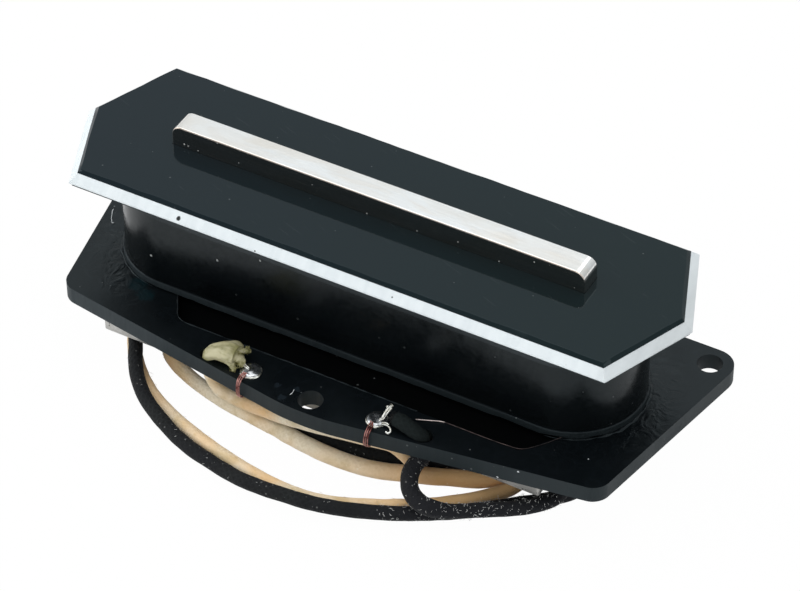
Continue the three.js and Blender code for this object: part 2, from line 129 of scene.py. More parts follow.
BLADE_LENGTH = 59 * MM
BLADE_THICKNESS = 3.4 * MM
BLADE_TOP = 20.8 * MM
BLADE_FOOT = -5.35 * MM
BLADE_CORNER_RADIUS = 1.4 * MM
BLADE_EDGE_EASE = 0.16 * MM
SLOT_GAP = 0.02 * MM
COVER_HALF_WIDTH = 12 * MM
COVER_FLAT_HALF_LENGTH = 37.3 * MM
COVER_POINT = 4.9 * MM
CORE_BEVEL = 1.05 * MM
CORE_LAND = 0.2 * MM
TOP_BEVEL = 0.46 * MM
BASE_PLY_SHY = 0.32 * MM
BASE_PLY_BOTTOM = 15.55 * MM
CORE_PLY_BOTTOM = 16.05 * MM
TOP_PLY_BOTTOM = 17.3 * MM
COVER_EDGE_EASE = 0.05 * MM
BEVEL_WANDER = 0.16 * MM

# Coil, bobbin and magnets

TAPE_LENGTH = 74 * MM
TAPE_WIDTH = 19 * MM
FLANGE_LENGTH = 74.6 * MM
FLANGE_WIDTH = 19.6 * MM
COIL_BOTTOM = 1.2 * MM
COIL_TOP = 14.75 * MM
FLANGE_EASE = 0.2 * MM
COIL_STRAIGHT = (FLANGE_LENGTH - FLANGE_WIDTH) / 2
MAGNET_EASE = 0.3 * MM
RIM_WANDER = 0.3 * MM
GLUE_RADIUS = 0.16 * MM
GLUE_HEIGHT = 0.03 * MM
GLUE_REACH = (15.5 * MM, 11 * MM)
GLUE_ENDS = (26 * MM, 33 * MM)

# Eyelets, solder and fine wires

EYELET_BARREL_RADIUS = 0.85 * MM
EYELET_WALL = 0.2 * MM
EYELET_RIM_RADIUS = 1.38 * MM
EYELET_DENTS = 0.06 * MM
SOLDER_RADIUS = 1.28 * MM
SOLDER_BASE = 0.12 * MM
SOLDER_HEIGHT = 0.42 * MM
COIL_WIRE_RADIUS = 0.075 * MM
COIL_WIRE_BARE_X = 16.5 * MM
ENAMEL_RADIUS_MM = 0.08

# Each strand: the points it runs through, its radius, and how thick its far end is as a share of that

LEFT_COIL_STRANDS_MM = [
    ([(-9.6, -18.3, 0.5), (-9.8, -19, 0.3), (-9.72, -19.7, 0.22), (-9.62, -20.15, -0.3), (-9.66, -20.1, -2),
      (-9.66, -19.4, -2.7), (-9.6, -18.4, -2.7)], ENAMEL_RADIUS_MM, 1),
    ([(-9.4, -18.3, 0.5), (-9.55, -19, 0.35), (-9.5, -19.7, 0.25), (-9.42, -20.2, -0.3), (-9.4, -20.15, -2),
      (-9.4, -19.4, -2.7), (-9.4, -18.2, -2.7)], ENAMEL_RADIUS_MM, 1),
    ([(-9.2, -18.3, 0.5), (-9.3, -19, 0.3), (-9.25, -19.75, 0.2), (-9.2, -20.25, -0.3), (-9.14, -20.2, -2),
      (-9.2, -19.4, -2.7), (-9.2, -18.4, -2.7)], ENAMEL_RADIUS_MM, 1),
]
RIGHT_COIL_STRANDS_MM = [
    ([(8.75, -18.3, 0.5), (8.8, -19, 0.35), (8.9, -19.7, 0.25), (8.9, -20.15, -0.2), (8.75, -20.15, -2),
      (8.8, -19.4, -2.7), (8.8, -18.4, -2.7)], ENAMEL_RADIUS_MM, 1),
    ([(8.95, -18.35, 0.5), (9.1, -19, 0.4), (9.15, -19.7, 0.3), (9.15, -20.15, -0.2), (9, -20.2, -2),
      (9, -19.4, -2.7), (9, -18.2, -2.7)], ENAMEL_RADIUS_MM, 1),
    ([(9.1, -18.35, 0.45), (9.3, -19, 0.3), (9.4, -19.7, 0.2), (9.35, -20.05, -0.2), (9.25, -20.1, -2),
      (9.2, -19.4, -2.7), (9.2, -18.4, -2.7)], ENAMEL_RADIUS_MM, 1),
]
LEFT_TINNED_STRANDS_MM = [
    ([(-11.3, -16.9, 1.1), (-10.6, -17.1, 0.95), (-9.9, -17.3, 0.7), (-9.4, -17.4, 0.5)], 0.14, 1),
    ([(-11.3, -17.1, 1), (-10.5, -17.4, 0.85), (-9.8, -17.6, 0.65), (-9.3, -17.6, 0.5)], 0.12, 1),
]
RIGHT_TINNED_STRANDS_MM = [
    ([(9.6, -17.5, 0.55), (10, -17.5, 1.05), (10.1, -16.9, 1.45), (10.15, -16.3, 1.65), (10.3, -15.7, 1.7)],
     0.13, 2.3),
    ([(9.7, -17.7, 0.5), (10.15, -17.5, 0.95), (10.3, -16.9, 1.35), (10.4, -16.1, 1.6)], 0.12, 1.7),
    ([(9.8, -17.6, 0.5), (10.1, -17.3, 0.95), (10.1, -16.6, 1.5), (9.95, -16.1, 1.75)], 0.1, 1.7),
    ([(10.1, -18.1, 0.4), (10.8, -18.05, 0.5), (11.4, -18.2, 0.45), (11.7, -18.6, 0.3), (11.5, -18.95, 0.22),
      (11.2, -18.85, 0.25)], 0.11, 1.5),
    ([(10.1, -17.9, 0.5), (10.7, -17.8, 0.62), (11.1, -17.9, 0.6)], 0.12, 1.2),
]
COIL_WIRE_MM = [
    (13.4, -15.2, 0.3), (14.9, -14.45, 0.2), (16.4, -13.8, 0.12), (18.2, -13.7, 0.1), (22.1, -13.7, 0.1),
    (25.2, -13.6, 0.1), (27.2, -13.3, 0.1), (28.9, -11.6, 0.1), (30.8, -9, 0.2),
]
TORN_SLIVERS_MM = [
    [(-41.05, 0.68, 0.05), (-40.86, 0.1, 0.07), (-40.6, -0.4, 0.06), (-40.33, -0.98, 0.08),
     (-39.96, -1.47, 0.07), (-39.66, -1.89, 0.05)],
    [(-39.8, -1.7, 0.05), (-39.55, -1.85, 0.1), (-39.5, -1.6, 0.06)],
    [(-2.72, -17.6, 0.03), (-2.6, -18.1, 0.06), (-2.68, -18.7, 0.03)],
]

# The leads' starts on the plate. Radii: how far along, and the radius there. Flaps: points, radii and squash.
# Fray: place, heading, spread, count and length.

CREAM_SLEEVE_MM = [
    (-15.5, -17, -2.4), (-15.5, -17, -1.2), (-15.35, -17.15, -0.1), (-14.8, -17.35, 0.75),
    (-13.9, -17.2, 1.15), (-12.9, -16.9, 1.3), (-12, -16.75, 1.4), (-11.4, -16.75, 1.4),
]
CREAM_SLEEVE_RADII_MM = [(0, 0.95), (2.6, 0.92), (3.8, 1.02), (5, 1.3), (6.2, 1.45), (6.9, 1.3), (7.3, 0.85)]
CREAM_FLAPS_MM = [
    ([(-12.2, -17.2, 0.9), (-11.7, -17.8, 0.65), (-11.3, -18.2, 0.4), (-11, -18.6, 0.25)],
     [(0, 0.8), (0.7, 0.66), (1.3, 0.42), (1.8, 0.2)], (1, 1, 0.45)),
    ([(-12, -16.9, 1.3), (-11.2, -17, 1.2), (-10.6, -17.2, 0.95), (-10.1, -17.5, 0.6)],
     [(0, 0.9), (0.9, 0.74), (1.6, 0.56), (2.2, 0.3)], (1, 1, 0.5)),
    ([(-12, -16.3, 1.5), (-11.2, -15.9, 1.5), (-10.8, -15.5, 1.35), (-10.5, -15.2, 1.1)],
     [(0, 0.7), (0.8, 0.42), (1.4, 0.36), (1.9, 0.22)], (1, 1, 0.6)),
]
CREAM_FRAY_MM = [
    ((-10.9, -15.5, 1.35), (0.5, 0.4, -0.3), 0.5, 150, 0.5),
    ((-10.7, -17.3, 0.95), (0.5, -0.5, -0.6), 0.6, 150, 0.6),
    ((-11.2, -18.2, 0.45), (0.3, -0.6, -0.4), 0.5, 90, 0.5),
    ((-11.6, -16.7, 1.6), (0.7, 0, 0.1), 0.9, 110, 0.6),
]
BLACK_STUB_MM = [
    (15.5, -17, -2.4), (15.5, -17, -1.2), (15.3, -17.1, -0.2), (14.7, -17.4, 0.55), (13.7, -17.4, 0.95),
    (12.5, -17.15, 1.1), (11.6, -17.05, 1.1),
]
BLACK_STUB_RADII_MM = [(0, 0.94), (3, 0.94), (5.5, 1), (6.6, 0.95), (7.1, 0.55)]
BLACK_FRAY_MM = ((-1, 0.3, -0.1), 0.75, 90, 0.9)
CREAM_FRAY_RADIUS = 0.024 * MM
BLACK_FRAY_RADIUS = 0.03 * MM
FIBRE_REST = 0.03 * MM

# Stretches between two places where a lead's braid is fuller, with how much

BLACK_FULL_STRETCH_MM = ((15.3, -17.1, -3.6), (19.6, -22, -6.4), 0.18)
CREAM_FULL_STRETCH_MM = ((-4.4, -17.3, -8.8), (20.9, -12.7, -8.9), 0.16)
SWELL_RUN = 2 * MM

# Fuzz: how far out it starts as a share of the lead's radius, fibres, their length, how far they stand off,
# and the X that they stay right of and the Y that they stay in front of

FUZZ_RADIUS = 0.02 * MM
BLACK_FUZZ_MM = [(1, 300, 0.5, 0.12, -math.inf, math.inf), (1.1, 620, 0.5, 0.2, 13, -12)]
CREAM_FUZZ_MM = [(1.05, 300, 0.8, 0.15, -math.inf, math.inf)]
THREAD_ROUGHNESS = 0.8
THREAD_COLORS = [
    ("lint", (0.35, 0.35, 0.34), (0.95, 0.94, 0.91)),
    ("black_thread", (0.006, 0.006, 0.006), (0.03, 0.03, 0.03)),
    ("cream_thread", (0.5, 0.42, 0.25), (0.85, 0.77, 0.6)),
    ("olive_thread", (0.12, 0.11, 0.02), (0.45, 0.42, 0.2)),
    ("pale_fibre", (0.45, 0.47, 0.48), (0.85, 0.87, 0.88)),
]

# Leads

CORD_DIAMETER = 1.9 * MM
TINNED_END_RADIUS = 0.36 * MM
TINNED_END_LENGTH = 8 * MM
LINK_GAP = 0.3 * MM
FLOOR_HEIGHT = -9.9 * MM
BLACK_ROUTE_MM = [
    (15.5, -17, -2.75), (15.3, -17.1, -3.6), (14.8, -17.7, -4.5), (14.7, -18.9, -5.2), (15.2, -20.2, -5.7),
    (16.3, -21.4, -6), (17.9, -22.1, -6.2), (19.6, -22, -6.4), (21.5, -21.1, -6.7), (24.3, -19.2, -6.85),
    (27.3, -17.3, -6.85), (30, -15.2, -6.85), (31.8, -12.5, -6.85), (31.7, -9.4, -6.85), (29.6, -7.2, -6.85),
    (26.6, -6.8, -6.85), (23.4, -7.5, -6.95), (20.6, -9.2, -7.7), (18, -11.1, -8.5), (15.4, -12.6, -8.9),
    (12.4, -13.8, -8.95), (8.5, -14.9, -8.95), (4, -15.6, -8.95), (-0.4, -15.7, -8.95), (-5.6, -14.8, -8.95),
    (-10, -13, -8.6), (-14.2, -11.1, -7.8), (-18.2, -9.4, -7), (-22, -7.8, -6.85), (-26, -6.7, -6.85),
    (-29.2, -7.2, -6.85), (-30.6, -9.5, -6.85), (-29.9, -12.1, -6.85), (-28.5, -14.5, -6.9),
    (-27.1, -16.8, -7.05), (-25.4, -19, -7.3), (-22.9, -21.2, -7.75), (-19, -23.4, -8.2),
    (-14.7, -25.1, -8.7), (-10.6, -26.2, -8.7), (-5.3, -27.3, -8.5), (-1.7, -27.6, -8.15),
    (1.7, -27.6, -7.85), (4.9, -27.3, -7.8), (9.1, -26.1, -7.95), (13, -24.4, -8.15), (16.2, -22.7, -8.3),
    (20, -20.2, -8.5), (23.6, -17.3, -8.8), (27, -14.2, -8.95), (30.6, -11, -8.95), (32.9, -7.6, -8.95),
    (33, -3.2, -8.95), (30.4, 0.4, -8.95), (26, 1.5, -8.95), (-14, 1.6, -8.95), (-17, 2.8, -8.95),
    (-18.2, 5.8, -8.95), (-17, 8.8, -8.95), (-14, 10.1, -8.95), (2, 10.2, -8.95), (23, 10.2, -8.95),
]

CREAM_ROUTE_MM = [
    (-15.5, -17, -2.75), (-15.5, -16.8, -3.9), (-15.2, -16.7, -4.9), (-14.2, -17, -5.6), (-12.6, -17.1, -6),
    (-10.4, -17.1, -6.3), (-7.6, -17.1, -6.2), (-4.6, -17.4, -5.8), (-1.6, -17.6, -5.2), (1.6, -17.6, -4.7),
    (4.9, -17.4, -4.3), (8, -17.1, -4.1), (10.7, -16.5, -4.3), (12.3, -16.3, -5.2), (13.3, -15.9, -6.4),
    (13.8, -14.5, -7), (13.6, -12.5, -7), (12, -10, -7.2), (9, -8.3, -8.2), (4.6, -7.8, -8.9),
    (0, -7.6, -8.95), (-8, -7, -8.95), (-21.8, -5.8, -8.95), (-25, -6.6, -8.95), (-26.4, -9, -8.95),
    (-25.4, -11.3, -8.95), (-23.6, -12.7, -8.95), (-21.6, -13.7, -8.95), (-19.4, -14.5, -8.95),
    (-16.8, -15.3, -8.9), (-13.8, -16, -8.9), (-10.6, -16.5, -8.85), (-7.6, -16.9, -8.85),
    (-4.4, -17.3, -8.8), (-1.4, -17.7, -8.8), (2, -18, -8.8), (6.2, -17.9, -8.8), (9.3, -17.3, -8.8),
    (12.2, -16.3, -8.8), (15.4, -15.1, -8.8), (18.3, -13.8, -8.85), (20.9, -12.7, -8.9), (22.9, -11.2, -8.95),
    (23.7, -8.6, -8.95), (22.6, -5.4, -8.95), (19.4, -3.3, -8.95), (14, -3, -8.95), (-4, -3, -8.95),
    (-22.5, -3, -8.95), (-28, -4.3, -8.95), (-31.1, -7.6, -8.95), (-31, -10.7, -8.95), (-29.8, -12.9, -8.95),
    (-27.8, -15.3, -8.95), (-25.2, -17.7, -8.95), (-22.3, -19.7, -8.95), (-18.3, -21.6, -8.95),
    (-14.1, -23.1, -8.95), (-9.4, -24.4, -8.95), (-3.3, -25.6, -8.95), (0.3, -25.9, -8.95),
    (3.6, -25.8, -8.95), (6.8, -25.1, -8.95), (10.9, -23.4, -8.95), (15, -21.2, -8.95), (19.8, -17.9, -8.95),
    (23.7, -14.2, -8.95), (25.3, -11.8, -8.95), (26, -8.8, -8.95), (25.1, -4.4, -8.95), (21.8, -1.3, -8.95),
    (16, -0.7, -8.95), (4, -0.7, -8.95),
]


# Node helpers

class Value:
    """A node's output that can stand in a sum: each operation on it adds a math node to its tree."""

    def __init__(self, socket):
        self.socket = socket
        self.tree = socket.id_data

    def __add__(self, other):
        return calc("ADD", self, other)

    def __sub__(self, other):
        return calc("SUBTRACT", self, other)

    def __rsub__(self, other):
        return calc("SUBTRACT", other, self)

    def __mul__(self, other):
        return calc("MULTIPLY", self, other)

    def __abs__(self):
        return calc("ABSOLUTE", self)


def connect(value, socket):
    """Links a value or an output to an input, or sets the input where the value is a constant."""
    source = getattr(value, "socket", value)
    if isinstance(source, bpy.types.NodeSocket):
        socket.id_data.links.new(source, socket)
    else:
        socket.default_value = source


def add_node(tree, kind, inputs=None, **settings):
    """Adds a shader node, fills its inputs and gives its outputs."""
    node = tree.nodes.new("ShaderNode" + kind)
    for key, value in settings.items():
        setattr(node, key, value)
    for key, value in (inputs or {}).items():
        connect(value, node.inputs[key])
    return node.outputs


def calc(operation, *values, clamp=False):
    tree = next(value.tree for value in values if isinstance(value, Value))
    inputs = dict(enumerate(values))
    return Value(add_node(tree, "Math", inputs, operation=operation, use_clamp=clamp)[0])


def most(*masks):
    result = masks[0]
    for mask in masks[1:]:
        result = calc("MAXIMUM", result, mask)
    return result


def remap(value, low, high, to_low=0.0, to_high=1.0):
    return Value(add_node(value.tree, "MapRange", {
        "Value": value, "From Min": low, "From Max": high, "To Min": to_low, "To Max": to_high,
    })["Result"])


def split(vector):
    return [Value(part) for part in add_node(vector.tree, "SeparateXYZ", {0: vector})]


def vectors(operation, first, second, output="Vector"):
    return Value(add_node(first.tree, "VectorMath", {0: first, 1: second}, operation=operation)[output])


def stretched(vector, scale):
    return vectors("MULTIPLY", vector, scale)


def noise_at(vector, scale, detail=3.0, distortion=0.0):
    return Value(add_node(vector.tree, "TexNoise", {
        "Vector": vector, "Scale": scale, "Detail": detail, "Distortion": distortion,
    })["Fac"])


def layered(color, *coats):
    """Lays coats over a colour, each given as its mask and its own colour."""
    for mask, coat in coats:
        pair = {k: (*v, 1) if isinstance(v, tuple) else v for k, v in ((6, color), (7, coat))}
        color = Value(add_node(mask.tree, "Mix", {0: mask, **pair}, data_type="RGBA")[2])
    return color


def empty_tree(owner):
    owner.use_nodes = True
    owner.node_tree.nodes.clear()
    return owner.node_tree


# Camera, lights and floor

def make_camera():
    a, e, r = CAMERA_AZIMUTH, CAMERA_ELEVATION, CAMERA_ROLL
    back = Vector((math.sin(a) * math.cos(e), -math.cos(a) * math.cos(e), math.sin(e)))
    level = Vector((math.cos(a), math.sin(a), 0))
    rise = back.cross(level)
    right = math.cos(r) * level + math.sin(r) * rise
    up = -math.sin(r) * level + math.cos(r) * rise
    place = right * CAMERA_SIDE + up * CAMERA_RISE + back * CAMERA_DISTANCE
    data = bpy.data.cameras.new("camera")
    data.sensor_width = SENSOR_WIDTH
    data.lens = CAMERA_LENS
    data.clip_start = CAMERA_CLIP
    camera = bpy.data.objects.new("camera", data)
    turn = Matrix((right, up, back)).transposed().to_4x4()
    camera.matrix_world = Matrix.Translation(place + Vector((0, 0, CAMERA_AIM_HEIGHT))) @ turn
    bpy.context.scene.collection.objects.link(camera)
    bpy.context.scene.camera = camera


def add_softbox(name, place, size, watts):
    """A lamp that faces the middle of the pickup."""
    data = bpy.data.lights.new(name, "AREA")
    data.shape = "RECTANGLE"
    data.size, data.size_y = size
    data.energy = watts
    lamp = bpy.data.objects.new(name, data)
    lamp.location = place
    lamp.rotation_euler = Vector(place).to_track_quat("Z", "Y").to_euler()
    bpy.context.scene.collection.objects.link(lamp)


def make_world():
    """Soft light, strongest from above and behind, and white where the camera looks past the object."""
    world = bpy.data.worlds.new("studio")
    bpy.context.scene.world = world
    tree = empty_tree(world)
    toward = Value(add_node(tree, "TexCoord")["Generated"])
    lean = vectors("DOT_PRODUCT", toward, BRIGHT_SIDE, "Value")
    level = remap(lean, *BRIGHT_SPREAD, WORLD_DIM, WORLD_BRIGHT)
    lit = add_node(tree, "Background", {"Color": WORLD_TINT, "Strength": level})
    shown = add_node(tree, "Background", {"Color": WHITE, "Strength": 1})
    seen = add_node(tree, "LightPath")["Is Camera Ray"]
    mix = add_node(tree, "MixShader", {0: seen, 1: lit[0], 2: shown[0]})
    add_node(tree, "OutputWorld", {"Surface": mix[0]})


def make_floor():
    bpy.ops.mesh.primitive_plane_add(size=FLOOR_SIZE, location=(0, 0, FLOOR_HEIGHT))
    floor = bpy.context.object
    floor.name = "floor"
    material = bpy.data.materials.new("studio_floor")
    tree = empty_tree(material)
    matte = add_node(tree, "BsdfDiffuse", {"Color": FLOOR_COLOR})
    glow = add_node(tree, "Emission", {"Color": WHITE, "Strength": 1})
    path = add_node(tree, "LightPath")
    mirrored = most(Value(path["Is Glossy Ray"]), path["Is Transmission Ray"]) * FLOOR_MIRRORED
    share = most(Value(path["Is Camera Ray"]) * FLOOR_SEEN, mirrored)
    mix = add_node(tree, "MixShader", {0: share, 1: matte[0], 2: glow[0]})
    add_node(tree, "OutputMaterial", {"Surface": mix[0]})
    floor.data.materials.append(material)


# Shared patterns

groups = {}


def new_group(name, output, *labels):
    """An empty group that takes a vector and the labelled inputs. Gives the way out, then the ways in."""
    tree = groups[name] = bpy.data.node_groups.new(name, "ShaderNodeTree")
    labels = ("Vector", *labels)
    for label in labels:
        kind = "NodeSocketVector" if label in ("Vector", "Place") else "NodeSocketFloat"
        tree.interface.new_socket(name=label, in_out="INPUT", socket_type=kind)
    tree.interface.new_socket(name=output, in_out="OUTPUT", socket_type="NodeSocketFloat")
    given = tree.nodes.new("NodeGroupInput").outputs
    result = tree.nodes.new("NodeGroupOutput").inputs[output]
    return result, *[Value(given[label]) for label in labels]


def make_dust_group():
    """Round specks: Share of the cells carry one, up to Size across in cells."""
    mask, vector, scale, share, size = new_group("dust", "Mask", "Scale", "Share", "Size")
    cells = add_node(vector.tree, "TexVoronoi", {"Vector": vector, "Scale": scale})
    lots = add_node(vector.tree, "SeparateColor", {0: cells["Color"]})
    chosen = calc("LESS_THAN", lots[0], share)
    connect(chosen * remap(size * lots[1] - cells["Distance"], 0.0, 0.08), mask)


def make_scratch_group():
    """Fine straight lines that run along X once the surface is turned by Turn about Z."""
    mask, vector, turn, scale = new_group("scratches", "Mask", "Turn", "Scale")
    turned = add_node(vector.tree, "VectorRotate", {"Vector": vector, "Angle": turn},
                      rotation_type="Z_AXIS")
    lines = noise_at(stretched(Value(turned[0]), (0.045, 1, 1)), scale, detail=2)
    patches = noise_at(vector, 300.0, detail=1)
    connect(remap(lines, 0.66, 0.71) * remap(patches, 0.5, 0.58), mask)


def make_spot_group():
    """A mark of Radius round Place, with an outline that wanders by Ragged."""
    mask, vector, place, radius, ragged = new_group("spot", "Mask", "Place", "Radius", "Ragged")
    wander = add_node(vector.tree, "TexNoise", {"Vector": vector, "Scale": 2600.0, "Detail": 2.0})
    centred = vectors("SUBTRACT", Value(wander["Color"]), (0.5, 0.5, 0.5))
    moved = vectors("ADD", vector, stretched(centred, ragged))
    share = calc("DIVIDE", vectors("DISTANCE", moved, place, "Value"), radius)
    connect(remap(share, 1.0, 0.65), mask)


def make_braid_group():
    """Crossing strands on a tube whose map runs round it in U and along it in V, both in diameters."""
    height, vector, around, along = new_group("braid", "Height", "Around", "Along")
    u, v = split(vector)[:2]
    across = u * around
    down = v * along
    connect(most(abs(calc("SINE", across + down)), abs(calc("SINE", across - down))), height)


def use(name, vector, **numbers):
    return Value(add_node(vector.tree, "Group", {"Vector": vector, **numbers}, node_tree=groups[name])[0])


def dust(here, scale, share, size=0.4):
    return use("dust", here, Scale=scale, Share=share, Size=size)


def scratches(here, turn, scale):
    return use("scratches", here, Turn=turn, Scale=scale)


def spots(vector, *marks):
    """One mask for several marks, each given as a place and a radius in millimetres and how ragged it is."""
    return most(*[
        use("spot", vector, Place=tuple(v * MM for v in place), Radius=radius * MM, Ragged=ragged * MM)
        for place, radius, ragged in marks
    ])


# Materials

materials = {}


def put(shader, **values):
    for label, value in values.items():
        connect(value, shader.inputs[label.replace("_", " ")])


def dress(shader, color, rough, height, depth, strength, **others):
    """Gives a shader its colour, its roughness and a bump from the height."""
    bump = add_node(height.tree, "Bump", {"Height": height, "Distance": depth, "Strength": strength})
    put(shader, Base_Color=color, Roughness=rough, Normal=bump[0], **others)


def facing(here):
    return split(Value(add_node(here.tree, "NewGeometry")["Normal"]))


def new_material(name, roughness, specular=0.5, metallic=0.0, gloss=WHITE):
    """Starts a material. Gives its shader, and the place on the surface."""
    material = materials[name] = bpy.data.materials.new(name)
    material.use_nodes = True
    shader = material.node_tree.nodes["Principled BSDF"]
    put(shader, Roughness=roughness, Specular_IOR_Level=specular, Metallic=metallic, Specular_Tint=gloss)
    return shader, Value(add_node(material.node_tree, "TexCoord")["Object"])


def make_fibre_material():
    """Fibre board: wrinkled by glue round the coil's ends, sawn at its walls, with painted shade that darkens
    the walls toward the right and leaves the pocket nearly black.
    """
    shader, here = new_material("black_fibre", 0.3, specular=0.26, gloss=COOL_GLOSS)
    x, y, z = split(here)
    wall = remap(abs(facing(here)[2]), 0.75, 0.45)
    beyond = most(abs(x) - COIL_STRAIGHT, 0.0)
    ring = calc("SQRT", beyond * beyond + y * y)
    glued = remap(ring, *GLUE_REACH) * remap(abs(x), *GLUE_ENDS)
    wrinkles = noise_at(here, 460.0, detail=4, distortion=2.0)
    grain = noise_at(here, 3800.0, detail=2)
    waves = noise_at(here, 130.0, detail=2)
    saw = noise_at(stretched(here, (1, 1, 0.12)), 2600.0)
    specked = dust(here, 2400.0, 0.02)
    specks = spots(here, ((28.5, -16.6, -0.35), 0.16, 0.15), ((25.9, -17.05, -2.2), 0.16, 0.15),
                   ((18.15, -13.6, 0), 0.14, 0.1), ((35.2, -10.8, 0), 0.1, 0.1))
    lines = scratches(here, 0.7, 2400.0)
    scraped = lines * spots(here, ((-4.8, -16.8, 0), 3, 1.5))
    dents = spots(here, ((-5, -17.9, 0), 0.5, 0.9), ((-3.4, -19.6, 0), 0.6, 0.9),
                  ((-2.4, -17.4, 0), 0.5, 0.8))
    stained = spots(here, ((-30.4, -10.3, 0), 1.5, 1.5), ((-28.4, -11.6, 0), 1.4, 1.4))
    # The sawn walls: lighter saw marks, and painted shade that darkens them toward the right.
    cut = layered((0.016, 0.0215, 0.0245), (remap(saw, 0.3, 0.75), (0.027, 0.034, 0.038)),
                  (remap(x, -36 * MM, 20 * MM, 0, 0.8), (0.009, 0.0125, 0.014)))
    # Painted shade: the pocket's floor is made nearly black and its reflection dimmed, as the coil shades it.
    painted_pocket_shade = remap(z, -0.3 * MM, -0.6 * MM) * remap(z, -1.6 * MM, -1.3 * MM) * (1.0 - wall)
    color = layered(
        (0.0028, 0.004, 0.005),
        (stained, (0.002, 0.011, 0.014)),
        (remap(wrinkles, 0.45, 0.75, 0, 0.5), (0.006, 0.0085, 0.011)),
        (dents * 0.6, (0.014, 0.02, 0.026)),
        (wall, cut),
        (painted_pocket_shade, (0.0006, 0.0006, 0.0007)),
        (specked * 0.4, (0.2, 0.21, 0.21)),
        (scraped * 0.5, (0.16, 0.17, 0.17)),
        (specks, (0.6, 0.62, 0.63)),
    )
    rough = remap(waves, 0.3, 0.7, 0.24, 0.38) + wall * 0.2 + painted_pocket_shade * 0.4
    dress(shader, color, rough, glued * wrinkles * 2.6 + grain * 0.07 + waves * 0.5, 0.11 * MM, 0.8,
          Specular_IOR_Level=remap(painted_pocket_shade, 0, 1, 0.26, 0.06))


def make_black_ply_material():
    """Polished black plastic with faint waves, dust and fine scratches."""
    shader, here = new_material("black_ply", 0.06, specular=0.31, gloss=COOL_GLOSS)
    waves = noise_at(here, 55.0, detail=1)
    haze = noise_at(stretched(here, (0.4, 1, 1)), 260.0)
    grain = noise_at(here, 5200.0, detail=1)
    ripple = noise_at(here, 700.0, detail=2)
    specked = dust(here, 2400.0, 0.008, 0.36)
    lines = scratches(here, 0.35, 3000.0)
    color = layered(
        (0.0038, 0.008, 0.0115),
        (remap(split(here)[0], -40 * MM, 40 * MM), (0.0032, 0.0085, 0.0095)),
        (lines * 0.02, (0.3, 0.32, 0.33)),
        (specked * 0.09, (0.5, 0.52, 0.52)),
    )
    height = waves + (ripple * 0.09 + grain * 0.004)
    dress(shader, color, remap(haze, 0.3, 0.75, 0.045, 0.1), height, 0.12 * MM, 0.35)


def make_white_ply_material():
    """White plastic, filed along its bevel, with painted shade at its right end, and chipped in a few places.
    """
    shader, here = new_material("white_ply", 0.34, specular=0.4)
    streaks = noise_at(stretched(here, (1, 0.12, 0.12)), 1100.0, detail=4)
    broad = noise_at(here, 110.0, detail=2)
    specked = dust(here, 2600.0, 0.02)
    chips = spots(here, ((-21.9, -12.65, 16.65), 0.34, 0.25), ((-10.6, -13.0, 16.3), 0.12, 0.1),
                  ((8.7, -12.6, 16.7), 0.14, 0.15), ((38.2, -13.1, 16.15), 0.2, 0.3),
                  ((38.6, -12.9, 16.1), 0.14, 0.3))
    # Painted shade: both tones are darker toward the right end.
    painted_end_shade = remap(split(here)[0], 35 * MM, 41 * MM)
    low = layered((0.69, 0.735, 0.755), (painted_end_shade, (0.56, 0.585, 0.595)))
    high = layered((0.78, 0.82, 0.835), (painted_end_shade, (0.66, 0.69, 0.7)))
    color = layered(
        low,
        (remap(streaks, 0.3, 0.72), high),
        (remap(broad, 0.35, 0.75, 0, 0.5), low),
        (specked * 0.3, (0.35, 0.36, 0.35)),
        (chips, (0.012, 0.014, 0.014)),
    )
    dress(shader, color, remap(streaks, 0.3, 0.7, 0.28, 0.42), streaks, 0.02 * MM, 0.6)


def make_steel_material():
    """Brushed steel with specks, browner where it leans to the front, and with a painted dark reflection of
    the black cover on its upright sides.
    """
    shader, here = new_material("blade_steel", 0.2, metallic=1)
    face = facing(here)
    brushed = noise_at(stretched(here, (0.03, 1, 1)), 5200.0)
    patches = noise_at(stretched(here, (0.35, 1, 1)), 330.0, distortion=0.6)
    specked = dust(here, 2600.0, 0.008)
    specks = spots(here, ((-27.65, -1.7, 18.35), 0.14, 0.12), ((-27.1, -1.7, 18.3), 0.12, 0.12),
                   ((-25.65, -1.7, 18.1), 0.09, 0.1), ((-1, -1.7, 17.9), 0.1, 0.1),
                   ((17.7, -1.7, 17.95), 0.1, 0.1), ((22.5, -1.7, 19.9), 0.1, 0.1))
    leaning = remap(face[1], -0.25, -0.5) * remap(face[2], 0.15, 0.4)
    # The upright sides: they carry the painted dark reflection and the dust.
    upright = remap(abs(face[2]), 0.3, 0.1)
    speck = most(specked * upright, specks) * 0.8
    color = layered(
        (0.945, 0.945, 0.94),
        (remap(patches, 0.42, 0.68), (0.89, 0.84, 0.78)),
        (remap(brushed, 0.35, 0.7, 0, 0.2), (0.82, 0.8, 0.77)),
        (scratches(here, 0.1, 4200.0) * 0.2, (0.6, 0.58, 0.54)),
        (leaning * 0.5, (0.42, 0.24, 0.12)),
        # Painted dark reflection on the upright sides.
        (upright * 0.66, (0.26, 0.22, 0.19)),
        (speck, (0.9, 0.9, 0.88)),
    )
    rough = remap(brushed, 0.3, 0.7, 0.12, 0.24) + speck * 0.5
    dress(shader, color, rough, brushed + patches * 1.5, 0.008 * MM, 0.5, Metallic=1.0 - speck)


